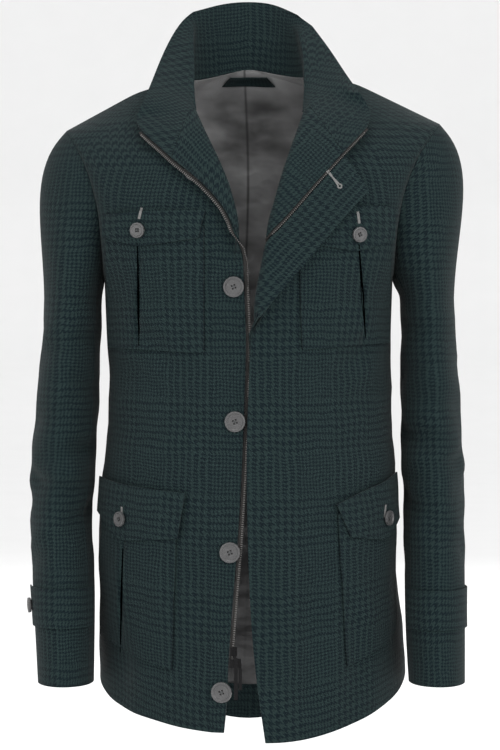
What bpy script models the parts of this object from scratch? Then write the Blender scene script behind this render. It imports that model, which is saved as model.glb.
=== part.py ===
"""A man's winter field jacket in its worn, filled-out form, with no wearer.

Metres, +Z up. The front faces -Y and the wearer's left is +X. The origin is where the wearer's shoulders
carry it: level with the seams at the sides of the neck, in the middle.
Every cloth piece is a wall, worked out from a few surfaces: the torso, the turned-out fronts, the collar and the sleeves.
"""

import math

import bpy
import numpy as np
from mathutils import Vector
from mathutils.bvhtree import BVHTree

# ---- driving sizes -------------------------------------------------------------------------------------------
CLOTH = 0.0018  # thickness of the wool
LINING = 0.0010  # thickness of the lining
SEAM = 0.0003  # gap between sewn pieces
ROLL = 0.0040  # inner radius where a front or the collar turns over
STEP_IN = SEAM + CLOTH  # from one layer of wool to the next
RIGHT, LEFT = -1, 1  # the wearer's sides, as the sign of x
FRONT, BACK = -1, 1  # as the sign of y

UNDERARM = -0.235  # height of the underarm point
HEM = -0.757  # height of the hem at the middle of the front
SHOULDER_Y = 0.005  # the shoulder seam runs in this plane
NECK_X = 0.078  # half the width of the neckline
ARMHOLE_DEPTH = 0.075  # half the front-to-back size of the armhole
TIP = {RIGHT: (0.215, -0.058), LEFT: (0.226, -0.050)}  # x and height of the shoulder points
UNDER_X = 0.170  # half the width of the torso at the underarm
FLAT_FOLD = math.pi * ROLL + 0.003  # cloth between the fold and the front edge where the front lies flat
ZIP_IN = 0.047  # from the edge of the left front to its zip
LAP = 0.006  # the left front lies this much further forward at the middle
DIP = 0.009  # how far the shoulder seam sinks under the collar

# Level sections of the torso below the underarm.
LEVELS = (  # height, y of the front, y of the back, y of the side seam, half width right, half width left, roundness
    (-0.776, -0.151, 0.140, 0.030, 0.1775, 0.188, 2.05),
    (-0.700, -0.151, 0.140, 0.030, 0.1775, 0.186, 2.05),
    (-0.611, -0.150, 0.140, 0.020, 0.1775, 0.174, 2.15),
    (-0.517, -0.147, 0.138, 0.012, 0.1785, 0.1765, 2.25),
    (-0.399, -0.138, 0.128, 0.006, 0.1650, 0.168, 2.3),
    (-0.300, -0.138, 0.130, 0.005, 0.1675, 0.168, 2.3),
    (-0.235, -0.142, 0.135, 0.005, 0.1700, 0.170, 2.3),
)
# The middle line above the underarm, by the angle round the armhole that its row ends at.
RISE = {
    FRONT: (  # angle, height, y
        (0, -0.235, -0.142),
        (30, -0.205, -0.1415),
        (60, -0.170, -0.139),
        (90, -0.128, -0.130),
        (120, -0.075, -0.105),
        (150, -0.020, -0.055),
        (180, 0.059, 0.005),
    ),
    BACK: (
        (0, -0.235, 0.135),
        (30, -0.195, 0.136),
        (60, -0.150, 0.134),
        (90, -0.095, 0.128),
        (120, -0.040, 0.113),
        (155, 0.028, 0.078),
        (180, 0.059, 0.005),
    ),
}
# Height of the hem round the body.
HEMLINE = (  # degrees from the middle of the front, height right, height left
    (0, -0.748, -0.757),
    (19, -0.7446, -0.7549),
    (37, -0.7367, -0.7435),
    (48, -0.7318, -0.7341),
    (64, -0.7225, -0.7190),
    (80, -0.7080, -0.7050),
    (90, -0.6970, -0.7010),
    (110, -0.705, -0.706),
    (140, -0.745, -0.745),
    (180, -0.776, -0.776),
)
# Front edges below the turned-out part.
EDGE = {
    RIGHT: (  # height, x
        (-0.760, -0.0300),
        (-0.713, -0.0242),
        (-0.672, -0.0235),
        (-0.6175, -0.0195),
        (-0.482, -0.0090),
        (-0.392, -0.0055),
        (-0.291, -0.0030),
        (-0.235, -0.0055),
        (-0.200, -0.0060),
    ),
    LEFT: (
        (-0.760, 0.0197),
        (-0.713, 0.0127),
        (-0.660, 0.0056),
        (-0.6175, 0.0022),
        (-0.520, -0.0010),
        (-0.426, -0.0028),
        (-0.350, 0.0005),
        (-0.2975, 0.0030),
    ),
}
# The turned-out part of each front, seen from the front: where it folds, and how far it lies back over the chest.
TURN = {
    RIGHT: (  # height of the fold, x of the fold, back in x, back in z, share of a half turn
        (-0.2350, -0.0211, -0.0030, 0.0000, 0.00),
        (-0.2108, -0.0208, -0.0030, 0.0000, 0.12),
        (-0.1870, -0.0178, -0.0030, -0.0010, 0.55),
        (-0.1625, -0.0185, -0.0027, -0.0020, 1.00),
        (-0.1405, -0.0247, -0.0068, -0.0085, 1.00),
        (-0.1195, -0.0315, -0.0110, -0.0173, 1.00),
        (-0.1015, -0.0395, -0.0135, -0.0250, 1.00),
        (-0.0830, -0.0488, -0.0157, -0.0340, 1.00),
        (-0.0630, -0.0583, -0.0182, -0.0445, 1.00),
        (-0.0400, -0.0680, -0.0196, -0.0585, 1.00),
    ),
    LEFT: (
        (-0.2975, 0.0186, 0.0030, 0.0000, 0.00),
        (-0.2720, 0.0150, 0.0030, -0.0030, 0.70),
        (-0.2460, 0.0175, 0.0089, -0.0110, 1.00),
        (-0.2215, 0.0225, 0.0174, -0.0181, 1.00),
        (-0.1970, 0.0268, 0.0255, -0.0279, 1.00),
        (-0.1735, 0.0303, 0.0344, -0.0368, 1.00),
        (-0.1510, 0.0348, 0.0424, -0.0452, 1.00),
        (-0.1280, 0.0405, 0.0491, -0.0541, 1.00),
        (-0.1060, 0.0475, 0.0535, -0.0630, 1.00),
        (-0.0846, 0.0551, 0.0573, -0.0724, 1.00),
        (-0.0600, 0.0641, 0.0599, -0.0844, 1.00),
        (-0.0390, 0.0715, 0.0646, -0.0927, 1.00),
    ),
}


# ---- reading the tables --------------------------------------------------------------------------------------
def read(table, column, at):
    """A column of a table on a smooth curve through its rows, at any place along its first column."""
    rows = np.array(table, float)
    x, y = rows[:, 0], rows[:, column]
    slope = np.gradient(y, x)
    at = np.clip(np.asarray(at, float), x[0], x[-1])
    i = np.clip(np.searchsorted(x, at) - 1, 0, len(x) - 2)
    wide = x[i + 1] - x[i]
    u = (at - x[i]) / wide
    rise = y[i + 1] - y[i]
    start, end = slope[i] * wide, slope[i + 1] * wide
    return y[i] + u * (start + u * (3 * rise - 2 * start - end + u * (start + end - 2 * rise)))


def unit(v):
    return v / np.maximum(np.linalg.norm(v, axis=-1, keepdims=True), 1e-12)


def smooth(low, high, at):
    u = np.clip((np.asarray(at, float) - low) / (high - low), 0, 1)
    return u * u * (3 - 2 * u)


def stack(*parts):
    return np.stack(np.broadcast_arrays(*parts), axis=-1)


# ---- the torso -----------------------------------------------------------------------------------------------
def armhole(side, angle):
    """A point of the armhole seam: angle 0 is the underarm, 90 the front, 180 the shoulder point, 270 the back."""
    a = np.radians(angle)
    up = (1 - np.cos(a)) / 2
    tip_x, tip_z = TIP[side]
    x = UNDER_X + (tip_x - UNDER_X) * up**3
    return stack(side * x, SHOULDER_Y - ARMHOLE_DEPTH * np.sin(a), UNDERARM + (tip_z - UNDERARM) * up)


def torso(side, face, phi, t):
    """A point of the body cloth: phi runs from 0 at the middle to 90 at the side, t from -1 at the hem through 0 at the
    underarm to 1 at the shoulder seam."""
    phi, t = np.broadcast_arrays(np.asarray(phi, float), np.asarray(t, float))
    low = UNDERARM + np.minimum(t, 0) * (UNDERARM - HEM)
    angle = 180 * np.maximum(t, 0)
    high = t > 0
    middle_z = np.where(high, read(RISE[face], 1, angle), low)
    middle_y = np.where(high, read(RISE[face], 2, angle), read(LEVELS, 1 if face == FRONT else 2, low))
    arm = armhole(side, angle if face == FRONT else 360 - angle)
    edge_x = np.where(high, np.abs(arm[..., 0]), read(LEVELS, 4 if side == RIGHT else 5, low))
    edge_y = np.where(high, arm[..., 1], read(LEVELS, 3, low))
    edge_z = np.where(high, arm[..., 2], low)
    round_by = np.where(high, 2.3 - 0.3 * smooth(60, 150, angle), read(LEVELS, 6, low))
    drop_by = 2.2 - 1.2 * smooth(90, 180, angle)
    sine, cosine = np.sin(np.radians(phi)), np.maximum(np.cos(np.radians(phi)), 0)
    across = np.sign(sine) * np.abs(sine) ** (2 / round_by)
    y = edge_y + (middle_y - edge_y) * cosine ** (2 / round_by)
    if (side, face) == (LEFT, FRONT):
        y = y - LAP * smooth(0.10, 0.02, side * edge_x * across) * smooth(1.0, 0.6, t)
    z = middle_z + (edge_z - middle_z) * np.abs(across) ** drop_by
    z = z - DIP * smooth(0.128, 0.098, edge_x * np.abs(across)) * smooth(0.72, 0.95, t)
    turned = phi if face == FRONT else 180 - phi
    dip = read(HEMLINE, 1 if side == RIGHT else 2, np.abs(turned)) - HEM
    z = z + dip * np.clip(-t, 0, 1) ** 2
    return stack(side * edge_x * across, y, z)


FINE = 0.002  # step for slopes
HALVINGS = 22  # steps of each search
ROUNDS = 5  # times two searches take turns


def t_at(side, face, phi, z):
    """The t where the torso has this height."""
    phi, z = np.broadcast_arrays(np.asarray(phi, float), np.asarray(z, float))
    low, high = np.full(phi.shape, -1.0), np.ones(phi.shape)
    for _ in range(HALVINGS):
        middle = (low + high) / 2
        below = torso(side, face, phi, middle)[..., 2] < z
        low, high = np.where(below, middle, low), np.where(below, high, middle)
    return (low + high) / 2


def phi_at(side, face, x, t):
    """The phi where the torso has this x, at t."""
    x, t = np.broadcast_arrays(np.asarray(x, float) * side, np.asarray(t, float))
    low, high = np.full(x.shape, -60.0), np.full(x.shape, 90.0)
    for _ in range(HALVINGS):
        middle = (low + high) / 2
        short = torso(side, face, middle, t)[..., 0] * side < x
        low, high = np.where(short, middle, low), np.where(short, high, middle)
    return (low + high) / 2


def normal(side, face, phi, t):
    """The way out of the torso cloth."""
    step_phi, step_t = 0.05, 0.002
    wide = torso(side, face, np.minimum(phi + step_phi, 90), t) - torso(side, face, phi - step_phi, t)
    tall = torso(side, face, phi, np.minimum(t + step_t, 1)) - torso(side, face, phi, t - step_t)
    return unit(np.cross(wide, tall)) * (side * -face)


def chest(side, x, z):
    """The front of the torso at x and z: the point and its way out."""
    t = t_at(side, FRONT, 20.0, z)
    for _ in range(ROUNDS):
        phi = phi_at(side, FRONT, x, t)
        t = t_at(side, FRONT, phi, z)
    return torso(side, FRONT, phi, t), normal(side, FRONT, phi, t), phi, t


# ---- the fronts, with the part that is turned out ------------------------------------------------------------
def turning(side, z):
    """How the front turns out at the height of its fold: x of the fold, back in x and z, and the turn in radians."""
    z = np.asarray(z, float)
    table = TURN[side]
    flat = z < table[0][0]
    fold_x = np.where(flat, read(EDGE[side], 1, z) + side * FLAT_FOLD, read(table, 1, z))
    back_x = np.where(flat, side * 0.003, read(table, 2, z))
    back_z = np.where(flat, 0, read(table, 3, z))
    turn = np.where(flat, 0, np.clip(read(table, 4, z), 0, 1)) * math.pi
    return fold_x, back_x, back_z, turn


def width(side, z):
    """The cloth from the fold to the front edge."""
    _, back_x, back_z, _ = turning(side, z)
    return math.pi * ROLL + np.hypot(back_x, back_z)


def front_cloth(side, z, s):
    """The outer face of a front: z is the height of the fold, s the way along the cloth from the fold towards the edge."""
    z, s = np.broadcast_arrays(np.asarray(z, float), np.asarray(s, float))
    fold_x, back_x, back_z, turn = turning(side, z)
    away = np.hypot(back_x, back_z)
    out_x, out_z = back_x / away, back_z / away
    bent = np.minimum(np.maximum(s, 0), ROLL * turn)
    rest = s - bent
    angle = bent / ROLL
    bulge = -ROLL * np.sin(angle)
    along = -np.cos(angle) * np.maximum(rest, 0)
    above = ROLL * (1 - np.cos(angle)) + np.sin(angle) * np.maximum(rest, 0)
    inside = np.maximum(-s, 0)
    slope = (turning(side, z + FINE)[0] - turning(side, z - FINE)[0]) / (2 * FINE)
    square_x, square_z = side / np.hypot(1, slope), -side * slope / np.hypot(1, slope)
    x = fold_x + square_x * bulge + out_x * along + side * inside
    point, out, _, _ = chest(side, x, z + square_z * bulge + out_z * along)
    return point + out * above[..., None]


# ---- walls ---------------------------------------------------------------------------------------------------
def material(name, colour, roughness, metallic=0.0):
    made = bpy.data.materials.new(name)
    made.use_nodes = True
    shader = made.node_tree.nodes["Principled BSDF"]
    shader.inputs["Base Color"].default_value = (*colour, 1)
    shader.inputs["Roughness"].default_value = roughness
    shader.inputs["Metallic"].default_value = metallic
    return made


def show(name, points, faces, finish):
    mesh = bpy.data.meshes.new(name)
    mesh.from_pydata([tuple(p) for p in points], [], faces)
    mesh.validate()
    mesh.materials.append(finish)
    mesh.shade_smooth()
    mesh.set_sharp_from_angle(angle=math.radians(40))
    made = bpy.data.objects.new(name, mesh)
    bpy.context.scene.collection.objects.link(made)
    return made


def welded(grid):
    """The grid's points without repeats, and the number of each grid place in that list."""
    flat = grid.reshape(-1, 3)
    _, first, number = np.unique(np.round(flat, 6), axis=0, return_index=True, return_inverse=True)
    return flat[first], number.reshape(grid.shape[:2])


def cells(number, keep):
    """The faces of a grid, as corner numbers; places that coincide are left out of a face."""
    rows, columns = number.shape
    found = []
    for i in range(rows - 1):
        for j in range(columns - 1):
            if keep is not None and not keep[i][j]:
                continue
            corners = [number[i, j], number[i, j + 1], number[i + 1, j + 1], number[i + 1, j]]
            face = [int(c) for n, c in enumerate(corners) if c != corners[n - 1]]
            if len(set(face)) == 4:
                found += [face[:3], [face[0], face[2], face[3]]]
            elif len(set(face)) == 3:
                found.append(face)
    return found


def ways_out(grid, keep=None, flip=False):
    """The way out at each place of a grid whose rows run up and whose columns run towards +X over its outer face."""
    points, number = welded(grid)
    total = np.zeros_like(points)
    for face in cells(number, keep):
        a, b, c = points[face]
        total[face] += np.cross(b - a, c - a)
    return unit(total)[number] * (-1 if flip else 1)


class Sheet:
    """A grid of points on a cloth's outer face, with the way out at each and the cells that are cloth."""

    def __init__(self, grid, keep=None, flip=False):
        self.grid = np.array(grid, float)
        self.keep = keep
        self.out = ways_out(self.grid, keep, flip)

    def used(self):
        """Which grid places belong to a cell that is cloth."""
        rows, columns = self.grid.shape[:2]
        if self.keep is None:
            return np.ones((rows, columns), bool)
        used = np.zeros((rows, columns), bool)
        keep = np.array(self.keep, bool)
        for i, j in ((0, 0), (0, 1), (1, 0), (1, 1)):
            used[i : rows - 1 + i, j : columns - 1 + j] |= keep
        return used


MITRE_MOST = 1.4  # longest mitre, in wall thicknesses


def meet(sheets, least):
    """Where sheets share a point, they share the way out too, so that their walls meet in a mitre, unless they turn so
    sharply that the cosine of half the angle is below the least."""
    shared = {}
    for number, sheet in enumerate(sheets):
        used = sheet.used()
        for place in zip(*np.nonzero(used)):
            key = tuple(np.round(sheet.grid[place], 5))
            shared.setdefault(key, {})[number] = sheet.out[place]
    for number, sheet in enumerate(sheets):
        for place in np.ndindex(sheet.grid.shape[:2]):
            found = shared.get(tuple(np.round(sheet.grid[place], 5)), {})
            if len(found) < 2 or number not in found:
                continue
            total = sum(found.values())
            size = np.linalg.norm(total) / len(found)
            if size > least:
                sheet.out[place] = unit(total) * min(1 / size, MITRE_MOST)
    return shared


def wall(name, finish, sheet, near, far, keep=None):
    """A wall of cloth: its faces lie at near and far along the sheet's ways out."""
    keep = sheet.keep if keep is None else keep
    near, far = (np.asarray(d, float) for d in (near, far))
    near, far = (d[..., None] if d.ndim == 2 else d for d in (near, far))
    _, number = welded(sheet.grid)
    faces = cells(number, keep)
    used = sorted({c for face in faces for c in face})
    order = {c: n for n, c in enumerate(used)}
    sides = []
    for distance in (near, far):
        points = np.zeros((number.max() + 1, 3))
        points[number.reshape(-1)] = (sheet.grid + sheet.out * distance).reshape(-1, 3)
        sides.append(points[used])
    return closed(name, finish, sides, [[order[c] for c in face] for face in faces])


def closed(name, finish, sides, faces):
    """A solid between two layers of the same faces."""
    n = len(sides[0])
    edges = {(a, b) for face in faces for a, b in zip(face, face[1:] + face[:1])}
    rims = [(b, a, a + n, b + n) for a, b in sorted(edges) if (b, a) not in edges]
    solid = [tuple(face) for face in faces] + [tuple(c + n for c in face[::-1]) for face in faces] + rims
    points = np.concatenate(sides)
    volume = sum(
        np.dot(points[f[0]], np.cross(points[f[k]], points[f[k + 1]])) for f in solid for k in range(1, len(f) - 1)
    )
    if volume < 0:
        solid = [face[::-1] for face in solid]
    return show(name, points, solid, finish)


# ---- rows and columns of the torso ---------------------------------------------------------------------------
LOW_ROWS = (-1, -0.925, -0.85, -0.71, -0.57, -0.43, -0.30, -0.19, -0.12, -0.08, -0.04)  # t of the rows below the underarm
FRONT_ROWS = (0, 20, 34, 44, 53, 62, 78, 92, 105, 117, 129, 142.5, 155, 168, 180)  # armhole angle of the rows above it
BACK_ROWS = (0, 20, 44, 62, 80, 98, 116, 135, 155, 156.9, 162.3, 170.4, 180)
GORGE = len(LOW_ROWS) + FRONT_ROWS.index(142.5)  # the row at which the turned-out part ends
NAPE = len(LOW_ROWS) + BACK_ROWS.index(155)  # the row at the middle of the back neckline
NAPE_ANGLE = 155
NECK_FRONT = {RIGHT: (0.0680, 0.0705, 0.0745), LEFT: (0.0715, 0.0730, 0.0755)}  # x of the front neckline by row
BODY_COLUMNS = 7
BACK_PHI = (0, 14, 28, 42, 55, 68, 80, 90)
FACING_IN = 0.050  # how far the facing reaches inside, past the fold
FACING_LOW = 0.080  # the same where the front lies flat
ZIP_HALF = 0.0021  # half the width of the zip tape that shows
ARC = math.pi * ROLL


def levels(angles):
    return np.array([*LOW_ROWS, *(a / 180 for a in angles)])


def fold_height(side, t):
    """The height at which a row of the front meets the fold."""
    z = float(torso(side, FRONT, 8.0, t)[2])
    for _ in range(2 * ROUNDS):
        phi = phi_at(side, FRONT, turning(side, z)[0], t)
        z = float(torso(side, FRONT, phi, t)[2])
    return z


def columns_of(side, z):
    """Places along the cloth of a front, from inside the body (less than 0) over the fold (0) to the edge."""
    w = float(width(side, z))
    flat = 1 - float(smooth(TURN[side][0][0], TURN[side][0][0] + 0.05, z))
    inner = -(FACING_IN + (FACING_LOW - FACING_IN) * flat * (side == LEFT))
    zip_at = w - ZIP_IN - ZIP_HALF if side == LEFT else 0.0
    start = min(zip_at, 0.0)
    bend = [inner, (inner + start) / 2, start, start / 2, 0, ARC / 4, ARC / 2, 3 * ARC / 4, ARC]
    if side == RIGHT:
        return [inner, inner / 2, 0, ARC / 4, ARC / 2, 3 * ARC / 4, ARC, *(ARC + (w - ARC) * k / 3 for k in (1, 2, 3))]
    turn = max(ARC, zip_at)
    return [*bend, *(ARC + (turn - ARC) * k / 3 for k in (1, 2, 3)), (turn + w) / 2, w]


def front_sheet(side):
    """One front from its edge over the fold to the side seam and the armhole, as a grid whose columns run towards +X."""
    grid, keep, s_rows, heights = [], [], [], []
    for row, t in enumerate(levels(FRONT_ROWS)):
        if row <= GORGE:
            z = fold_height(side, t)
            s = columns_of(side, z)
            flap = front_cloth(side, z, np.array(s))
            _, _, start, level = chest(side, flap[0, 0], flap[0, 2])
            ends = np.linspace(0, 1, BODY_COLUMNS + 1)[1:]
            phi = start + (90 - start) * ends
            body = torso(side, FRONT, phi, level + (t - level) * ends)
        else:
            x = NECK_FRONT[side][row - GORGE] if row - GORGE < 3 else NECK_X
            start = phi_at(side, FRONT, side * x, t)
            s = columns_of(side, TURN[side][-1][0])
            inner = sum(1 for v in s if v <= 0)
            phi_in = phi_at(side, FRONT, side * (x + FACING_IN), t)
            inside = torso(side, FRONT, np.linspace(phi_in, start, inner), t)
            flap = np.concatenate([inside, np.repeat(inside[-1:], len(s) - inner, axis=0)])
            phi = phi_in + (90 - phi_in) * np.linspace(0, 1, BODY_COLUMNS + 1)[1:]
            body = torso(side, FRONT, phi, t)
        line = np.concatenate([body[::-1], flap])
        grid.append(line if side == RIGHT else line[::-1])
        s_rows.append(s)
        heights.append(z)
    grid = np.array(grid)
    inner = sum(1 for v in s_rows[0][:5] if v < 0) if side == LEFT else 2
    count = grid.shape[1]
    keep = np.ones((len(grid) - 1, count - 1), bool)
    body_cells = BODY_COLUMNS + (2 if side == RIGHT else 4)
    for i in range(GORGE, len(grid) - 1):
        for j in range(count - 1):
            at = j if side == RIGHT else count - 2 - j
            keep[i, j] = at < body_cells
    return Sheet(grid, keep), np.array(heights), s_rows


def back_sheet():
    """The back, with its two halves side by side: above the nape they part round the neckline."""
    grid = []
    for row, t in enumerate(levels(BACK_ROWS)):
        halves = []
        for side in (RIGHT, LEFT):
            if row <= NAPE:
                phi = np.array(BACK_PHI, float)
            else:
                share = math.acos(min(1, (180 - t * 180) / (180 - NAPE_ANGLE)))
                start = float(phi_at(side, BACK, side * NECK_X * math.sin(share), t))
                phi = start + (90 - start) * np.linspace(0, 1, len(BACK_PHI))
            line = torso(side, BACK, phi, t)
            halves.append(line[::-1] if side == RIGHT else line)
        grid.append(np.concatenate(halves))
    grid = np.array(grid)
    keep = np.ones((len(grid) - 1, grid.shape[1] - 1), bool)
    keep[NAPE:, len(BACK_PHI) - 1] = False
    return Sheet(grid, keep, flip=True)


# ---- the collar ----------------------------------------------------------------------------------------------
# A row for each place round the neckline, from the middle of the back to the top of the front's fold.
COLLAR = {
    RIGHT: (  # fold x, y, z, edge x, y, z
        (0.0000, 0.0860, 0.0820, 0.0000, 0.0900, 0.1026),
        (0.0305, 0.0815, 0.0800, 0.0310, 0.0850, 0.1005),
        (0.0655, 0.0570, 0.0740, 0.0670, 0.0550, 0.0870),
        (0.0680, 0.0400, 0.0690, 0.0804, 0.0500, 0.0730),
        (0.0680, 0.0150, 0.0400, 0.0998, 0.0300, 0.0357),
        (0.0660, -0.0080, 0.0120, 0.1127, -0.0200, -0.0054),
        (0.0640, -0.0330, -0.0150, 0.1221, -0.0600, -0.0320),
    ),
    LEFT: (
        (0.0000, 0.0860, 0.0820, 0.0000, 0.0900, 0.1026),
        (0.0305, 0.0815, 0.0800, 0.0320, 0.0850, 0.1000),
        (0.0575, 0.0570, 0.0710, 0.0600, 0.0550, 0.0835),
        (0.0605, 0.0400, 0.0660, 0.0749, 0.0500, 0.0677),
        (0.0632, 0.0150, 0.0380, 0.0965, 0.0300, 0.0365),
        (0.0640, -0.0080, 0.0110, 0.1150, -0.0100, 0.0020),
        (0.0665, -0.0310, -0.0160, 0.1290, -0.0500, -0.0200),
    ),
}
# The collar's edge beyond that place, over the turned-out front, down to its corner at the zip.
COLLAR_END = {
    RIGHT: ((0.1268, -0.0540), (0.1262, -0.0595), (0.1240, -0.0655), (0.1212, -0.0712)),  # x, z
    LEFT: ((0.1377, -0.0427), (0.1379, -0.0537), (0.1358, -0.0625), (0.1328, -0.0678)),
}
FOLD_ROWS = 5  # the row of the collar's grid at which its fold ends


LIFT_WITHIN = 0.015  # only points this near the body are moved
COLLAR_OVER = 0.0055  # the collar's underside lies at least this far over the body


def body_tree(fronts, back):
    """The outer face of the body alone, without the turned-out parts."""
    points, faces = [], []
    for sheet, columns in (
        (fronts[RIGHT][0], slice(0, BODY_COLUMNS + 3)),
        (fronts[LEFT][0], slice(-(BODY_COLUMNS + 5), None)),
        (back, slice(None)),
    ):
        grid = sheet.grid[:, columns]
        shift = len(points)
        points += [Vector(p) for p in grid.reshape(-1, 3)]
        rows, count = grid.shape[:2]
        for i in range(rows - 1):
            for j in range(count - 1):
                face = [i * count + j, i * count + j + 1, (i + 1) * count + j + 1, (i + 1) * count + j]
                face = face[::-1] if sheet is back else face
                faces.append(tuple(k + shift for k in face))
    return BVHTree.FromPolygons(points, faces)


def collar_column(neck, fold, edge):
    """A line up the collar from the neckline round the fold to the edge."""
    up, over = fold - neck, edge - fold
    corner = min(0.0055, 0.4 * np.linalg.norm(up), 0.4 * np.linalg.norm(over))
    start, end = fold - corner * up / np.linalg.norm(up), fold + corner * over / np.linalg.norm(over)
    bend = [start * (1 - u) ** 2 + fold * 2 * u * (1 - u) + end * u**2 for u in (0, 1 / 3, 2 / 3, 1)]
    return [neck, (neck + start) / 2, *bend, *(end + (edge - end) * k / 3 for k in (1, 2, 3))]


def collar_half(side, front, heights, back):
    """The columns of one half of the collar, from the middle of the back to the end at the zip."""
    grid = back.grid
    middle = len(BACK_PHI) - (1 if side == RIGHT else 0)
    inner = BODY_COLUMNS + 2 if side == RIGHT else front.grid.shape[1] - 1 - BODY_COLUMNS - 4
    neck = [grid[NAPE + k, middle] for k in range(5)]
    neck += [front.grid[GORGE + k, inner] for k in (2, 1)]
    flip = np.array([side, 1, 1])
    columns = []
    for start, row in zip(neck, COLLAR[side]):
        columns.append(collar_column(start, np.array(row[:3]) * flip, np.array(row[3:]) * flip))
    z = heights[GORGE]
    last = float(width(side, z)) - (ZIP_IN + ZIP_HALF if side == LEFT else 0)
    edge = []
    for x, height in COLLAR_END[side]:
        point, out, _, _ = chest(side, side * x, height)
        edge.append(point + out * 2 * ROLL)
    arc = front_cloth(side, z, ARC * np.array([0, 0, 0, 1, 2, 3]) / 3)
    columns.append([*arc, *(arc[-1] + (edge[0] - arc[-1]) * k / 3 for k in (1, 2, 3))])
    for number in (1, 2, 3):
        start = front_cloth(side, z, ARC + (last - ARC) * number / 3)
        columns.append([start] * (FOLD_ROWS + 1) + [start + (edge[number] - start) * k / 3 for k in (1, 2, 3)])
    return columns


def lifted(point, body, least):
    """The point, moved out where it is less than this far over the body."""
    near, way, _, away = body.find_nearest(Vector(point))
    high = (Vector(point) - near).dot(way)
    return np.array(near + way * least) if high < least and away < LIFT_WITHIN else point


def collar_sheet(fronts, back):
    body = body_tree(fronts, back)
    halves = {side: collar_half(side, fronts[side][0], fronts[side][1], back) for side in (RIGHT, LEFT)}
    for side in (RIGHT, LEFT):
        for column, line in enumerate(halves[side][:8]):
            for row in range(FOLD_ROWS - 1, len(line)):
                line[row] = lifted(line[row], body, COLLAR_OVER if column < 7 else 1.95 * ROLL)
    columns = halves[RIGHT][::-1] + halves[LEFT][1:]
    grid = np.array(columns).transpose(1, 0, 2)
    keep = np.ones((grid.shape[0] - 1, grid.shape[1] - 1), bool)
    keep[:FOLD_ROWS, :3] = False
    keep[:FOLD_ROWS, -3:] = False
    return Sheet(grid, keep, flip=True)


# ---- the sleeves ---------------------------------------------------------------------------------------------
SLEEVE = {
    RIGHT: (  # height, x of the middle, half width
        (-0.703, 0.2122, 0.0328),
        (-0.640, 0.2139, 0.0351),
        (-0.580, 0.2160, 0.0370),
        (-0.517, 0.2192, 0.0357),
        (-0.450, 0.2172, 0.0378),
        (-0.400, 0.2145, 0.0380),
        (-0.330, 0.2097, 0.0364),
        (-0.257, 0.2063, 0.0338),
    ),
    LEFT: (
        (-0.703, 0.2190, 0.0330),
        (-0.640, 0.2175, 0.0352),
        (-0.580, 0.2174, 0.0354),
        (-0.517, 0.2184, 0.0351),
        (-0.450, 0.2173, 0.0363),
        (-0.400, 0.2155, 0.0360),
        (-0.330, 0.2132, 0.0344),
        (-0.257, 0.2099, 0.0311),
    ),
}
SLEEVE_DEPTH = (  # height, y of the middle, half depth
    (-0.703, -0.054, 0.057),
    (-0.600, -0.037, 0.060),
    (-0.470, -0.006, 0.068),
    (-0.370, 0.003, 0.075),
    (-0.257, 0.005, 0.080),
)
CAP_ROWS = (0.0, 0.14, 0.32, 0.52, 0.75)  # share of the way from the armhole to the upper arm
ARM_TOP, CUFF = -0.257, -0.700
ARM_ROWS = (-0.257, -0.300, -0.345, -0.390, -0.425, -0.450, -0.475, -0.505, -0.545, -0.590, -0.645, -0.700)
UNDER_FROM, UNDER_TO = -62, 34  # the under sleeve, in degrees round the sleeve
# The largest folds of the sleeves: soft ridges and troughs that run round them.
SLEEVE_FOLDS = {
    RIGHT: (  # middle in degrees, height, half length in degrees, drop over that length, half width, rise
        (70, -0.455, 75, -0.030, 0.015, 0.0045),
        (95, -0.492, 70, 0.028, 0.013, -0.0035),
        (60, -0.425, 60, 0.030, 0.013, -0.0035),
        (110, -0.330, 60, 0.040, 0.020, 0.0030),
        (200, -0.470, 60, 0.020, 0.016, 0.0030),
        (120, -0.555, 60, -0.030, 0.018, 0.0025),
    ),
    LEFT: (
        (75, -0.462, 75, -0.026, 0.015, 0.0045),
        (100, -0.500, 70, 0.030, 0.013, -0.0035),
        (62, -0.430, 60, 0.026, 0.013, -0.0035),
        (105, -0.345, 60, 0.038, 0.020, 0.0030),
        (205, -0.480, 60, 0.020, 0.016, 0.0030),
        (125, -0.560, 60, -0.028, 0.018, 0.0025),
    ),
}


def ridges(table, across, along):
    """The rise of a table's soft folds at places on a surface."""
    total = np.zeros(np.broadcast(across, along).shape)
    for middle, height, reach, drop, half, rise in table:
        off = (np.asarray(across) - middle) / reach
        away = (np.asarray(along) - height - drop * off) / half
        total = total + rise * np.exp(-(away**2)) * smooth(1.0, 0.3, np.abs(off))
    return total


def sleeve(side, angle, w):
    """The outer face of a sleeve: w is the share of the way to the upper arm up to 1, then 1 plus the way down."""
    angle, w = np.broadcast_arrays(np.asarray(angle, float), np.asarray(w, float))
    a = np.radians(angle)
    z = ARM_TOP - np.maximum(w - 1, 0)
    centre_x, half_x = read(SLEEVE[side], 1, z), read(SLEEVE[side], 2, z)
    centre_y, half_y = read(SLEEVE_DEPTH, 1, z), read(SLEEVE_DEPTH, 2, z)
    bulge = 1 + ridges(SLEEVE_FOLDS[side], np.mod(angle + 120, 360) - 120, z) / half_x
    x = centre_x - half_x * np.cos(a) * bulge
    section = stack(side * x, centre_y - half_y * np.sin(a) * bulge, z)
    start = armhole(side, angle)
    up = (1 - np.cos(a)) / 2
    size = np.linalg.norm(section - start, axis=-1, keepdims=True)
    leave = unit(stack(side * (0.08 + 0.95 * up**2), 0 * a, -1 + 0.25 * up)) * size
    arrive = stack(0 * a, 0 * a, -1 + 0 * a) * size
    u = np.clip(w, 0, 1)[..., None]
    cap = (
        start * (1 + u * u * (2 * u - 3))
        + leave * u * (1 - u) ** 2
        + section * u * u * (3 - 2 * u)
        + arrive * u * u * (u - 1)
    )
    return np.where(w[..., None] <= 1, cap, section)


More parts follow.
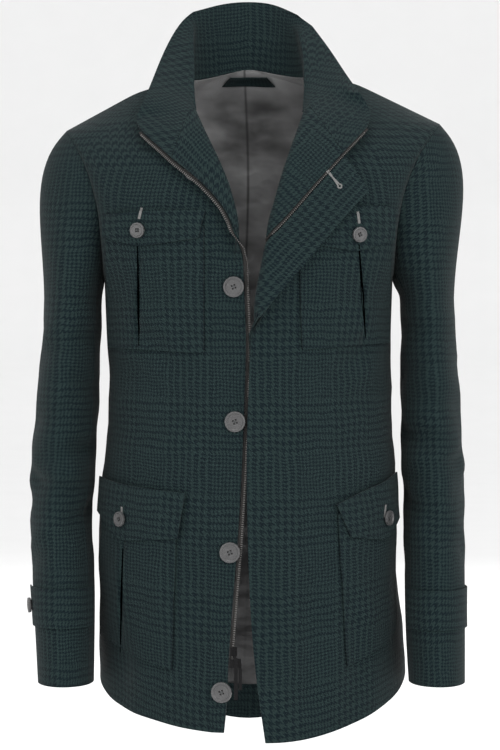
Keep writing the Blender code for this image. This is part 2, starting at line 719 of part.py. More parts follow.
def sleeve_sheets(side):
    """The upper and the under sleeve."""
    around = [-a for a in BACK_ROWS[:4]][::-1][:-1] + list(FRONT_ROWS) + [360 - a for a in BACK_ROWS[:-1]][::-1][:-3]
    around = np.array(around, float)
    rows = [*CAP_ROWS, *(1 + ARM_TOP - z for z in ARM_ROWS)]
    grids = []
    for low, high in ((UNDER_FROM, UNDER_TO), (UNDER_TO, 360 + UNDER_FROM)):
        angles = around[(around >= low) & (around <= high)]
        grid = sleeve(side, angles[None, :], np.array(rows)[:, None])
        grids.append(Sheet(grid[::-1], flip=side == RIGHT))
    return grids


# ---- laying pieces on others ---------------------------------------------------------------------------------
REACH = 0.0060  # how high over a sheet the pieces under it are looked for
LOOK = 5  # places looked at across each cell


def tree(*objects):
    points, faces = [], []
    for item in objects:
        n = len(points)
        points += [v.co.copy() for v in item.data.vertices]
        faces += [tuple(i + n for i in p.vertices) for p in item.data.polygons]
    return BVHTree.FromPolygons(points, faces)


def seat(sheet, under, reach=REACH):
    """How far each point of a sheet has to rise to clear what lies under it."""
    grid, out = sheet.grid, sheet.out
    rows, columns = grid.shape[:2]
    rise = np.full((rows, columns), SEAM)
    found = tree(*under)
    for i in range(rows - 1):
        for j in range(columns - 1):
            most = -REACH
            for a in np.linspace(0, 1, LOOK):
                for b in np.linspace(0, 1, LOOK):
                    weights = ((1 - a) * (1 - b), (1 - a) * b, a * (1 - b), a * b)
                    corners = ((i, j), (i, j + 1), (i + 1, j), (i + 1, j + 1))
                    point = sum(w * grid[c] for w, c in zip(weights, corners))
                    way = unit(sum(w * out[c] for w, c in zip(weights, corners)))
                    hit = found.ray_cast(Vector(point + way * reach), Vector(-way), 2 * reach)
                    if hit[0] is not None:
                        most = max(most, reach - hit[3])
            for c in ((i, j), (i, j + 1), (i + 1, j), (i + 1, j + 1)):
                rise[c] = max(rise[c], most + 2 * SEAM)
    return rise


def on_front(side, table, rows, splits):
    """A sheet on a front, from a table of its columns: x and height of the top and of the bottom of each."""
    table = np.array(table, float)
    places = np.concatenate([np.linspace(k, k + 1, n + 1)[:-1] for k, n in enumerate(splits)] + [[len(table) - 1]])
    column = [np.interp(places, np.arange(len(table)), table[:, k]) for k in range(table.shape[1])]
    v = np.linspace(0, 1, rows + 1)[:, None]
    x = side * (column[2] + (column[0] - column[2]) * v)
    z = column[3] + (column[1] - column[3]) * v
    order = slice(None, None, -1) if side == RIGHT else slice(None)
    x, z = x[:, order], z[:, order]
    point, _, _, _ = chest(side, x, z)
    high = (column[4] if table.shape[1] > 4 else 0 * places)[order]
    return Sheet(point), high * np.ones_like(x), v * np.ones_like(x)


# ---- seams ---------------------------------------------------------------------------------------------------
HALF_SEAM = 0.6 * SEAM  # how far each piece keeps back from a seam
TIGHT_SEAM = 0.0010  # the same where three pieces meet at a sharp turn


def level_shoulder(sheet):
    """Along the shoulder seam the walls of the front and the back end in the seam's own plane."""
    out = sheet.out[-1] * np.array([1, 0, 1])
    sheet.out[-1] = out / np.sum(out**2, axis=-1, keepdims=True)


def draw_in(sheet, places, towards, gap):
    """Moves grid places along their rows or columns, away from a seam."""
    moved = [unit(sheet.grid[b] - sheet.grid[a]) * gap for a, b in zip(places, towards)]
    for place, step in zip(places, moved):
        same = np.linalg.norm(sheet.grid - sheet.grid[place], axis=-1) < 1e-7
        sheet.grid[same] = sheet.grid[same] + step


def open_seams(fronts, back, collar, sleeves):
    """Keeps sewn pieces a hair apart where they share an edge."""
    low = len(LOW_ROWS) + 1
    step = np.array([0, HALF_SEAM, 0])
    for side in (RIGHT, LEFT):
        grid = fronts[side][0].grid
        column = 0 if side == RIGHT else -1
        grid[:low, column] -= step
        grid[-1] -= step
        back.grid[:low, column] += step
        for sheet in sleeves[side]:
            sheet.grid[-1] += np.array([side * 2 * HALF_SEAM, 0, 0])
            rows, columns = sheet.grid.shape[:2]
            for end, beside in ((0, 1), (columns - 1, columns - 2)):
                for i in range(rows):
                    draw_in(sheet, [(i, end)], [(i, beside)], HALF_SEAM if i < rows - 4 else TIGHT_SEAM)
    back.grid[-1] += step
    columns = collar.grid.shape[1]
    for side in (RIGHT, LEFT):
        at = (lambda k: k) if side == RIGHT else (lambda k: columns - 1 - k)
        places = [(FOLD_ROWS, at(k)) for k in (0, 1, 2)]
        towards = [(FOLD_ROWS + 1, at(k)) for k in (0, 1, 2)]
        places += [(i, at(3)) for i in range(FOLD_ROWS, 1, -1)]
        towards += [(i, at(4)) for i in range(FOLD_ROWS, 1, -1)]
        draw_in(collar, places, towards, 2 * HALF_SEAM)
        for k in (4, 5, 6):
            draw_in(collar, [(0, at(k))], [(1, at(k))], TIGHT_SEAM)
    middle = range(7, columns - 7)
    draw_in(collar, [(0, j) for j in middle], [(1, j) for j in middle], 2 * HALF_SEAM)


# ---- what lies inside the fronts -----------------------------------------------------------------------------
def along(front, side, row, places):
    """Points and ways out of a front's row at distances along its cloth."""
    sheet, heights, lines = front
    s = np.array(lines[row])
    out = sheet.out[row] if side == RIGHT else sheet.out[row, ::-1]
    out = out[-len(s) :]
    ways = np.stack([np.interp(places, s, out[:, k]) for k in range(3)], axis=-1)
    return front_cloth(side, heights[row], places), ways


CROSSING = 0.0025  # how much deeper the inner pieces lie where the zip line crosses the fold


def deeper(side, heights, rows):
    """The extra depth of the pieces inside a front, by row."""
    zip_at = width(side, heights[rows]) - ZIP_IN
    near = (heights[rows] > TURN[LEFT][0][0] - 0.02) & (zip_at < ARC + 0.008) & (side == LEFT)
    return np.where(near, CROSSING, 0.0)[:, None]


def strip(front, side, low, high):
    """Part of a front's cloth between two distances from its edge, for what is sewn inside it."""
    sheet, heights, lines = front
    grid, out = [], []
    for row in range(GORGE + 1):
        w = float(width(side, heights[row]))
        s = np.array(lines[row])
        first = s[0] if low is None else w - low
        points, ways = along(front, side, row, np.clip(s, first, w - high))
        grid.append(points)
        out.append(ways)
    order = slice(None) if side == RIGHT else slice(None, None, -1)
    made = Sheet(np.array(grid)[:, order])
    made.out = np.array(out)[:, order]
    return made


def collar_ends(side, collar):
    """The end of the collar from the gorge seam up to its corner, and the way along the cloth beyond it."""
    column = 0 if side == RIGHT else collar.grid.shape[1] - 1
    line = collar.grid[FOLD_ROWS:, column]
    out = unit(collar.out[FOLD_ROWS:, column])
    beyond = unit(np.cross(out, line[-1] - line[0])) * side
    return line, beyond


TAPE_SHOWS = 0.0045  # how far the right zip tape reaches past the edge of the wool


def tape_sheet(front, side, collar):
    grid, out = [], []
    start = 4 * SEAM if side == RIGHT else -ZIP_IN - ZIP_HALF + 2 * SEAM
    end = TAPE_SHOWS if side == RIGHT else -ZIP_IN + ZIP_HALF - 3 * SEAM
    for row in range(TAPE_ROW, GORGE + 1):
        w = float(width(side, front[1][row]))
        points, ways = along(front, side, row, w + np.linspace(start, end, 3))
        grid.append(points)
        out.append(ways)
    line, beyond = collar_ends(side, collar)
    across = np.linspace(SEAM, end - start + SEAM, 3)
    for point, way in zip(line[1:], beyond[1:]):
        grid.append(point + way * across[:, None])
        out.append(out[-1])
    order = slice(None) if side == RIGHT else slice(None, None, -1)
    made = Sheet(np.array(grid)[:, order])
    made.out[: GORGE + 1 - TAPE_ROW] = np.array(out)[: GORGE + 1 - TAPE_ROW, order]
    return made


TAPE_ROW = 2  # the row of the front at which the zip tapes end

# ---- pockets, flaps and straps -------------------------------------------------------------------------------
# Columns from the middle of the body outwards: x and height of the top, x and height of the bottom, puff.
POCKETS = {
    "chest_pocket_right": (
        RIGHT,
        (
            (0.0503, -0.174, 0.0503, -0.3170, 0.0),
            (0.0700, -0.174, 0.0710, -0.3160, 0.0025),
            (0.1180, -0.174, 0.1235, -0.3135, 0.0030),
            (0.1195, -0.174, 0.1250, -0.3130, 0.0002),
            (0.1215, -0.174, 0.1270, -0.3130, 0.0002),
            (0.1230, -0.174, 0.1285, -0.3130, 0.0030),
            (0.1600, -0.174, 0.1610, -0.3120, 0.0010),
        ),
        (1, 2, 1, 1, 1, 2),
    ),
    "chest_pocket_left": (
        LEFT,
        (
            (0.0560, -0.176, 0.0600, -0.3130, 0.0),
            (0.0750, -0.176, 0.0790, -0.3120, 0.0025),
            (0.1215, -0.176, 0.1300, -0.3080, 0.0030),
            (0.1230, -0.176, 0.1315, -0.3080, 0.0002),
            (0.1250, -0.176, 0.1335, -0.3080, 0.0002),
            (0.1265, -0.176, 0.1350, -0.3080, 0.0030),
            (0.1600, -0.176, 0.1610, -0.3060, 0.0010),
        ),
        (1, 2, 1, 1, 1, 2),
    ),
    "hip_pocket_right": (
        RIGHT,
        (
            (0.0810, -0.492, 0.0864, -0.6770, 0.0),
            (0.0950, -0.492, 0.1000, -0.6740, 0.0030),
            (0.1370, -0.492, 0.1425, -0.6610, 0.0034),
            (0.1385, -0.492, 0.1440, -0.6600, 0.0002),
            (0.1405, -0.492, 0.1460, -0.6590, 0.0002),
            (0.1420, -0.492, 0.1475, -0.6580, 0.0034),
            (0.1690, -0.484, 0.1710, -0.6480, 0.0010),
        ),
        (1, 2, 1, 1, 1, 2),
    ),
    "hip_pocket_left": (
        LEFT,
        (
            (0.1010, -0.500, 0.1115, -0.6750, 0.0),
            (0.1160, -0.500, 0.1260, -0.6700, 0.0030),
            (0.1480, -0.494, 0.1560, -0.6550, 0.0034),
            (0.1690, -0.480, 0.1700, -0.6440, 0.0010),
        ),
        (1, 2, 2),
    ),
}
FLAPS = {
    "chest_flap_right": (
        RIGHT,
        ((0.0487, -0.1560, 0.0559, -0.1875, 0), (0.1190, -0.1565, 0.1234, -0.1965, 0), (0.1630, -0.1590, 0.1630, -0.1840, 0)),
        (4, 3),
    ),
    "chest_flap_left": (
        LEFT,
        ((0.0500, -0.1500, 0.0570, -0.1920, 0), (0.1190, -0.1500, 0.1223, -0.2020, 0), (0.1640, -0.1500, 0.1630, -0.1870, 0)),
        (4, 3),
    ),
    "hip_flap_right": (
        RIGHT,
        ((0.0706, -0.4760, 0.0785, -0.5270, 0), (0.1400, -0.4690, 0.1450, -0.5330, 0), (0.1690, -0.4630, 0.1720, -0.5030, 0)),
        (4, 3),
    ),
    "hip_flap_left": (
        LEFT,
        ((0.0977, -0.4890, 0.1137, -0.5267, 0), (0.1520, -0.4670, 0.1547, -0.5335, 0), (0.1690, -0.4580, 0.1715, -0.5110, 0)),
        (4, 3),
    ),
}
FLAP_ROWS, POCKET_ROWS = 2, 5
PUFF_FROM = 0.25  # share of a pocket's height over which its puff fades at top and bottom
STRAPS = {  # first and last angle round the sleeve, upper and lower height, length of the point in degrees
    RIGHT: (26, 188, -0.589, -0.634, 14),
    LEFT: (26, 232, -0.591, -0.636, 14),
}


def strap_sheet(side):
    first, last, high, low, point = STRAPS[side]
    angles = np.append(np.linspace(first, last - point, 12), last)
    half = np.append(np.ones(12), 0.25) * (high - low) / 2
    z = (high + low) / 2 + np.array([-1, 0, 1])[:, None] * half
    grid = sleeve(side, angles[None, :], 1 + ARM_TOP - z)
    return Sheet(grid, flip=side == RIGHT)


# ---- buttons -------------------------------------------------------------------------------------------------
FRONT_BUTTONS = ((-0.0167, -0.2420), (-0.0152, -0.3946), (-0.0209, -0.5418), (-0.0303, -0.6998))  # x, height
HIDDEN_BUTTON = (-0.0605, -0.1130)  # under the turned-out right front
SMALL_BUTTONS = {  # side, x, height
    "chest_button_right": (RIGHT, -0.1228, -0.1780),
    "chest_button_left": (LEFT, 0.1225, -0.1826),
    "hip_button_right": (RIGHT, -0.1414, -0.5080),
    "hip_button_left": (LEFT, 0.1545, -0.5080),
}
CUFF_BUTTONS = {RIGHT: (163, -0.6110), LEFT: (208, -0.6130)}  # degrees round the sleeve, height
WIDE, NARROW = 0.0120, 0.0090  # button radii
BUTTON_REACH = 0.0095  # the same as the reach above, for a button that lies on several pieces
BUTTON = (  # share of the radius, height
    (0.90, 0.0000),
    (1.00, 0.0012),
    (0.97, 0.0034),
    (0.82, 0.0036),
    (0.70, 0.0025),
)


def button(name, finish, point, out, radius, under, segments=16):
    """A dished button lying on what is under it."""
    out = Vector(out).normalized()
    across = out.cross(Vector((0, 0, 1))).normalized()
    up = out.cross(across)
    if under:
        found, rise = tree(*under), 0.0
        for share in (0, 0.5, 1):
            for k in range(segments):
                turn = 2 * math.pi * k / segments
                look = Vector(point) + (across * math.cos(turn) + up * math.sin(turn)) * radius * share
                hit = found.ray_cast(look + out * BUTTON_REACH, -out, 2 * BUTTON_REACH)
                if hit[0] is not None:
                    rise = max(rise, BUTTON_REACH - hit[3])
        point = Vector(point) + out * (rise + 2 * SEAM)
    place = Vector(point)
    points, faces = [place + out * BUTTON[0][1]], []
    for share, high in BUTTON:
        for k in range(segments):
            turn = 2 * math.pi * k / segments
            points.append(place + (across * math.cos(turn) + up * math.sin(turn)) * radius * share + out * high)
    points.append(place + out * 0.0023)
    last = len(points) - 1
    for k in range(segments):
        n = (k + 1) % segments
        faces.append((0, 1 + n, 1 + k))
        for ring in range(len(BUTTON) - 1):
            a = 1 + ring * segments
            faces.append((a + k, a + n, a + segments + n, a + segments + k))
        a = 1 + (len(BUTTON) - 1) * segments
        faces.append((a + k, a + n, last))
    return show(name, points, faces, finish)


# ---- zip sliders and pulls -----------------------------------------------------------------------------------
SLIDERS = {  # height of the middle, reach past the tape's end, x of the hinge
    "upper": (-0.6540, 0.0049, -0.0160),
    "lower": (-0.6670, 0.0102, -0.0098),
}
SLIDER_HALF = 0.0050  # half the height of a slider
HINGE_OUT = 0.0020  # how far the hinge lies in front of the cloth
PULLS = {  # left and right edge of the bar, its length below the hinge
    "upper": (-0.0165, -0.0120, 0.0540),
    "lower": (-0.0113, -0.0073, 0.0300),
}


def slider(which, finish, edge):
    """A slider that holds the tape's edge between two plates, with a bridge for its pull."""
    z, reach, hinge = SLIDERS[which]
    x, y = (float(np.interp(z, edge[:, 2], edge[:, k])) for k in (0, 1))
    section = ((-0.0030, -0.0008), (reach, -0.0008), (reach, 0.0036), (-0.0030, 0.0036))
    section += ((-0.0030, 0.0024), (0.0008, 0.0024), (0.0008, 0.0003), (-0.0030, 0.0003))
    sides = [np.array([(x + a, y + b, z + c) for a, b in section]) for c in (-SLIDER_HALF, SLIDER_HALF)]
    body = closed(f"zip_slider_{which}", finish, sides, [list(range(8))])
    bridge = ((-0.0006, -0.0031), (-0.0040, -0.0031), (-0.0040, 0.0031), (-0.0006, 0.0031))
    bridge += ((-0.0006, 0.0021), (-0.0031, 0.0021), (-0.0031, -0.0021), (-0.0006, -0.0021))
    sides = [np.array([(hinge + c, y + a, z + b) for a, b in bridge]) for c in (-0.0007, 0.0007)]
    arch = closed(f"bridge_{which}", finish, sides, [list(range(8))])
    arch.hide_render = True
    arch.display_type = "WIRE"
    join = body.modifiers.new("bridge", "BOOLEAN")
    join.operation = "UNION"
    join.solver = "EXACT"
    join.object = arch
    return y


def pull(which, finish, y):
    """A flat pull tab with an eye at its top, hanging from a slider's bridge."""
    z, _, hinge = SLIDERS[which]
    left, right, length = PULLS[which]
    eye = [hinge + a for a in (-0.0019, -0.0011, 0.0011, 0.0019)]
    bar = list(np.linspace(left, right, 4))
    rows = [(bar, -length), (bar, -length + 0.010), (bar, -0.0075), (eye, -0.0058), (eye, -0.0045)]
    rows += [(eye, -0.0006), (eye, 0.0006)]
    grid = np.array([[(x, y - HINGE_OUT, z + high) for x in xs] for xs, high in rows])
    keep = np.ones((6, 3), bool)
    keep[4, 1] = False
    sheet = Sheet(grid, keep)
    wall(f"zip_pull_{which}", finish, sheet, 0.0006, -0.0006)


# ---- the pieces ----------------------------------------------------------------------------------------------
SIDES = {RIGHT: "right", LEFT: "left"}


def main():
    for old in list(bpy.data.objects):
        bpy.data.objects.remove(old)
    wool = material("wool", (0.010, 0.022, 0.024), 0.95)
    lining = material("lining", (0.10, 0.11, 0.12), 0.5)
    tape = material("zip tape", (0.20, 0.18, 0.16), 0.8)
    horn = material("button", (0.16, 0.17, 0.18), 0.4)
    metal = material("black metal", (0.01, 0.01, 0.01), 0.25, 1.0)

    fronts = {side: front_sheet(side) for side in (RIGHT, LEFT)}
    back = back_sheet()
    collar = collar_sheet(fronts, back)
    sleeves = {side: sleeve_sheets(side) for side in (RIGHT, LEFT)}
    for sheet in (fronts[RIGHT][0], fronts[LEFT][0], back):
        level_shoulder(sheet)
    meet([fronts[RIGHT][0], fronts[LEFT][0], back, *sleeves[RIGHT], *sleeves[LEFT]], 0.6)
    meet([fronts[RIGHT][0], fronts[LEFT][0], back, collar], 0.3)
    open_seams(fronts, back, collar, sleeves)

    made = {}
    for side, name in SIDES.items():
        made[side] = wall(f"front_{name}", wool, fronts[side][0], 0.0, -CLOTH)
    wall("back", wool, back, 0.0, -CLOTH)
    wall("collar_outer", wool, collar, 0.0, -CLOTH)
    facing = Sheet(collar.grid, collar.keep, flip=True)
    facing.out = collar.out
    for at in (lambda k: k, lambda k: collar.grid.shape[1] - 1 - k):
        for k in (4, 5, 6):
            draw_in(facing, [(0, at(k))], [(1, at(k))], TIGHT_SEAM)
        for i in (3, 2):
            draw_in(facing, [(i, at(3))], [(i, at(4))], TIGHT_SEAM)
    deep = np.full(collar.grid.shape[:2], -STEP_IN)
    deep[:FOLD_ROWS, [3, 4, 5, 6, -7, -6, -5, -4]] -= TIGHT_SEAM
    stand = wall("collar_inner", wool, facing, deep, deep - CLOTH)

    hem_keep = np.zeros_like(back.keep)
    hem_keep[0] = True
    lining_keep = back.keep.copy()
    lining_keep[0] = False
    lining_keep[:, [0, -1]] = False
    wall("back_hem", wool, back, -STEP_IN, -STEP_IN - CLOTH, hem_keep)
    raised = Sheet(back.grid, back.keep, flip=True)
    raised.out = back.out
    raised.grid = back.grid.copy()
    raised.grid[1, :, 2] += 2 * HALF_SEAM
    inside = wall("back_lining", lining, raised, -STEP_IN, -STEP_IN - LINING, lining_keep)

    tapes = {}
    for side, name in SIDES.items():
        high = 0.0 if side == RIGHT else ZIP_IN + ZIP_HALF
        sheet = strip(fronts[side], side, None, high)
        deep = -STEP_IN - deeper(side, fronts[side][1], slice(0, GORGE + 1)) * np.ones(sheet.grid.shape[:2])
        wall(f"facing_{name}", wool, sheet, deep, deep - CLOTH)
        tapes[side] = tape_sheet(fronts[side], side, collar)
        depth = (0.0009, 0.0017) if side == RIGHT else (0.0025, 0.0033)
        more = np.zeros(tapes[side].grid.shape[:2])
        more[: GORGE + 1 - TAPE_ROW] = deeper(side, fronts[side][1], slice(TAPE_ROW, GORGE + 1))
        wall(f"zip_tape_{name}", tape, tapes[side], -depth[0] - more, -depth[1] - more)
    sheet = strip(fronts[LEFT], LEFT, ZIP_IN - ZIP_HALF, 0.0)
    deep = -STEP_IN - deeper(LEFT, fronts[LEFT][1], slice(0, GORGE + 1)) * np.ones(sheet.grid.shape[:2])
    wall("fly_left", wool, sheet, deep, deep - CLOTH)

    x = np.linspace(-1, 1, 7)[None, :]
    drop = np.array([1.0, 0.5, 0.0])[:, None]
    nape = back.grid[NAPE, len(BACK_PHI)]
    tab_x = x * (0.0245 + 0.0095 * (1 - drop))[::-1]
    tab_t = t_at(LEFT, BACK, phi_at(LEFT, BACK, np.abs(tab_x), NAPE_ANGLE / 180 - 0.03), nape[2] - 0.0035 - 0.0105 * drop)
    tab_phi = phi_at(LEFT, BACK, np.abs(tab_x), tab_t)
    tab = torso(LEFT, BACK, tab_phi, tab_t)
    tab[..., 0] = tab_x
    tab = Sheet(tab)
    lift = float(seat(tab, [inside, stand], 0.010).max())
    wall("neck_tab", wool, tab, lift, lift + LINING)

    pockets, flaps = {}, {}
    for name, (side, table, splits) in POCKETS.items():
        sheet, high, v = on_front(side, table, POCKET_ROWS, splits)
        lift = seat(sheet, [made[side]])
        puff = high * smooth(0, PUFF_FROM, v) * smooth(1, 1 - 2 * PUFF_FROM, v)
        pockets[name] = wall(name, wool, sheet, lift + puff, lift + puff + CLOTH)
    for name, (side, table, splits) in FLAPS.items():
        sheet, _, _ = on_front(side, table, FLAP_ROWS, splits)
        under = [made[side], pockets[name.replace("flap", "pocket")]]
        lift = seat(sheet, under)
        flaps[name] = wall(name, wool, sheet, lift, lift + CLOTH)

    for side, name in SIDES.items():
        arms = [
            wall(f"sleeve_under_{name}", wool, sleeves[side][0], 0.0, -CLOTH),
            wall(f"sleeve_upper_{name}", wool, sleeves[side][1], 0.0, -CLOTH),
        ]
        sheet = strap_sheet(side)
        lift = seat(sheet, arms)
        strap = wall(f"cuff_strap_{name}", wool, sheet, lift, lift + CLOTH)
        angle, z = CUFF_BUTTONS[side]
        point = sleeve(side, angle, 1 + ARM_TOP - z)
        beside = sleeve(side, angle + 1, 1 + ARM_TOP - z) - sleeve(side, angle - 1, 1 + ARM_TOP - z)
        below = sleeve(side, angle, 1.001 + ARM_TOP - z) - point
        out = unit(np.cross(below, beside)) * side
        button(f"cuff_button_{name}", horn, point, out, NARROW, [strap, *arms], 12)

    for number, (x, z) in enumerate(FRONT_BUTTONS, 2):
        point, out, _, _ = chest(RIGHT, x, z)
        button(f"front_button_{number}", horn, point, out, WIDE, [made[RIGHT]])
    point, out, _, _ = chest(RIGHT, *HIDDEN_BUTTON)
    button("front_button_1", horn, point + out * (2 * ROLL + 0.002), -out, WIDE, [made[RIGHT]])
    for name, (side, x, z) in SMALL_BUTTONS.items():
        point, out, _, _ = chest(side, x, z)
        under = [made[side], flaps[name.replace("button", "flap")], pockets[name.replace("button", "pocket")]]
        button(name, horn, point, out, NARROW, under, 12)

    for which in SLIDERS:
        y = slider(which, metal, tapes[RIGHT].grid[: GORGE - TAPE_ROW, -1])
        pull(which, metal, y)
        print(which, "hinge at", SLIDERS[which][2], y - HINGE_OUT, SLIDERS[which][0])


main()
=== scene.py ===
# %% [markdown]
# # A checked wool field jacket
#
# The solids of the jacket are loaded first. Each cloth piece is then made again with finer cells, soft
# creases and a woven surface, and the zip teeth, thread and buttonholes are added. The frame is in metres,
# +Z is up and the front faces -Y.

# %%
import math

import bmesh
import bpy
import numpy as np
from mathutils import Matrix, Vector
from mathutils.bvhtree import BVHTree


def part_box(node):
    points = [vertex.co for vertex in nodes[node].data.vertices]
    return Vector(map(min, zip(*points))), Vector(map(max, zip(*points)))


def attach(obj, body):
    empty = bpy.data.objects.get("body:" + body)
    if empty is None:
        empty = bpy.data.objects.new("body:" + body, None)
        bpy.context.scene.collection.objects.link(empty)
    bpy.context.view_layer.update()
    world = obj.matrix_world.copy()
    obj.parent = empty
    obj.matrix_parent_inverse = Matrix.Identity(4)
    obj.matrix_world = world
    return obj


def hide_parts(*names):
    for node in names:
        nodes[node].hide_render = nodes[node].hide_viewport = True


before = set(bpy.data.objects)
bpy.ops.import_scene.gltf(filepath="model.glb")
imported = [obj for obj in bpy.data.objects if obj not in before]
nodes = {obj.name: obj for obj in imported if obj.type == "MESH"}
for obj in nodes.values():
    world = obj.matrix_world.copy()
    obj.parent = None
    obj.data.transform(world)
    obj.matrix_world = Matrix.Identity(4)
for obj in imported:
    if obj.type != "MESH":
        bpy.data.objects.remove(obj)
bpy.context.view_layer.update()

print("solids:", len(nodes))

# %% [markdown]
# ## Sizes
#
# Lengths are in metres. The yarn sets the scale of the whole check.

# %%
YARN = 0.00104  # from one yarn to the next
WELD = 0.00001  # points closer than this are one point
SHARP = 50  # an edge that turns more than this many degrees stays crisp
FINER = 2  # times that each cell is halved
SAME_CELL, SAME_SHAPE = 25, 175  # degrees up to which two triangles are one cell
SOLID_SHARP = 35  # the same as the sharp turn above, for buttons, sliders and pulls
TAPE_SHARP = 60  # the same, for the rims of a tape
LEAST_LINE = 6  # a crisp line of a tape has more points than this
TAPE_LINES = 4  # a tape has this many long edges
TOOTH_ROUND = 0.00025  # how far the corners of a tooth are rounded
TOOTH = (0.0011, 0.0026, 0.0013)  # length along the zip, width across it, height
TEETH_PROUD = 0.0013  # how far the teeth of the left tape stand out of it
TOOTH_STEP = 0.0025  # from one zip tooth to the next
THREAD_STEP = 0.00042  # from one buttonhole stitch to the next
RIGHT, LEFT = -1, 1
CAMERA_AWAY = 3.2
FLOOR = -0.93
NARROWEST = 0.0105  # least width that a cut piece is given
LEAST_FILLED = 0.3  # least share of its rectangle that a cut fills

# %% [markdown]
# ## Materials
#
# `Signal` lets the maths of a material read as plain arithmetic, and `Paint` holds one material and adds the
# nodes that aren't maths.


# %%
class Signal:
    """A socket in a material."""

    def __init__(self, paint, socket):
        self.paint, self.socket = paint, socket

    def maths(self, operation, other=None):
        node = self.paint.tree.nodes.new("ShaderNodeMath")
        node.operation = operation
        self.paint.link(self, node.inputs[0])
        if other is not None:
            self.paint.link(other, node.inputs[1])
        return Signal(self.paint, node.outputs[0])

    def __add__(self, other):
        return self.maths("ADD", other)

    def __sub__(self, other):
        return self.maths("SUBTRACT", other)

    def __mul__(self, other):
        return self.maths("MULTIPLY", other)

    def __truediv__(self, other):
        return self.maths("DIVIDE", other)

    def wave(self, length):
        """A smooth wave from -1 to 1 of this length."""
        return (self * (2 * math.pi / length)).maths("SINE")

    def steps(self, length, contrast=3.0):
        """A wave with flat tops, from 0 to 1."""
        return (self.wave(length) * contrast * 0.5 + 0.5).clamped()

    def clamped(self):
        return self.maths("MAXIMUM", 0.0).maths("MINIMUM", 1.0)


class Paint:
    """A material and its nodes."""

    def __init__(self, name, **constant):
        self.material = bpy.data.materials.new(name)
        self.material.use_nodes = True
        self.tree = self.material.node_tree
        self.shader = self.tree.nodes["Principled BSDF"]
        for socket, value in constant.items():
            self.shader.inputs[socket.replace("_", " ")].default_value = value

    def link(self, value, socket):
        if isinstance(value, Signal):
            self.tree.links.new(value.socket, socket)
        else:
            socket.default_value = value

    def node(self, kind, output=0, settings=(), **inputs):
        made = self.tree.nodes.new(kind)
        for key, value in dict(settings).items():
            setattr(made, key, value)
        for key, value in inputs.items():
            self.link(value, made.inputs[int(key[1:]) if key[0] == "_" else key.replace("_", " ")])
        return Signal(self, made.outputs[output])

    def mix(self, factor, first, second):
        return self.node("ShaderNodeMix", 2, {"data_type": "RGBA"}, _0=factor, _6=first, _7=second)

    def noise(self, where, scale, detail=2.0):
        return self.node("ShaderNodeTexNoise", 0, Vector=where, Scale=scale, Detail=detail)

    def place(self):
        return self.node("ShaderNodeTexCoord", 3)

    def cloth(self):
        """The place on the cut cloth, across and along, in metres."""
        spot = self.node("ShaderNodeUVMap", 0, {"uv_map": "cloth"})
        split = self.node("ShaderNodeSeparateXYZ", 0, Vector=spot)
        return split, Signal(self, split.socket.node.outputs[1])

    def bump(self, height, distance, strength=1.0):
        made = self.node("ShaderNodeBump", 0, Height=height, Distance=distance, Strength=strength)
        self.link(made, self.shader.inputs["Normal"])

    def finish(self, colour, roughness=None):
        self.link(colour, self.shader.inputs["Base Color"])
        if roughness is not None:
            self.link(roughness, self.shader.inputs["Roughness"])
        return self.material


# %% [markdown]
# Four dark and four light yarns make the broken houndstooth, two and two make the fine lines, and a twill
# decides which yarn shows.

# %%
DARK, LIGHT = (0.0024, 0.0066, 0.0092, 1), (0.0140, 0.0262, 0.0258, 1)
WIDE_PART, REPEAT_ACROSS, REPEAT_ALONG = 0.58, 96 * YARN, 104 * YARN


def check_wool():
    paint = Paint("checked wool", Sheen_Weight=0.035, Sheen_Roughness=0.5, Specular_IOR_Level=0.10)
    across, along = paint.cloth()
    place = paint.place()
    drift = paint.noise(place, 45.0, 1.0) - 0.5
    jitter = paint.noise(place, 240.0, 1.0) - 0.5
    across, along = across + drift * 0.0040 + jitter * 0.0022, along + drift * 0.0060 - jitter * 0.0020

    def yarns(at, repeat):
        zone = ((at / repeat).maths("FRACT") - WIDE_PART) * -30.0 + 0.5
        wide, fine = at.steps(8 * YARN, 4.0), at.steps(4 * YARN, 3.0)
        zone = zone.clamped()
        return wide * zone + fine * (zone * -1.0 + 1.0)

    warp, weft = yarns(across, REPEAT_ACROSS), yarns(along, REPEAT_ALONG)
    over = (across + along).steps(4 * YARN, 4.0)
    light = warp * over + weft * (over * -1.0 + 1.0)
    slub = paint.noise(place, 420.0, 3.0)
    light = (light * 0.74 + slub * 0.85 - 0.30).clamped()
    colour = paint.mix(light, DARK, LIGHT)
    worn = (paint.noise(place, 9.0, 2.0) - 0.35) * 0.5
    colour = paint.mix(worn.clamped() * 0.5, colour, (0.0085, 0.0160, 0.0165, 1))
    fuzz = paint.noise(place, 1500.0, 2.0)
    twill = (across + along).wave(4 * YARN)
    paint.bump(twill * 0.30 + slub * 0.9 + fuzz * 0.8, 0.00035, 0.8)
    return paint.finish(colour, slub * 0.15 + 0.82)


PLEAT_X = 0.004  # how far the lining's pleat lies from the middle, to the wearer's right


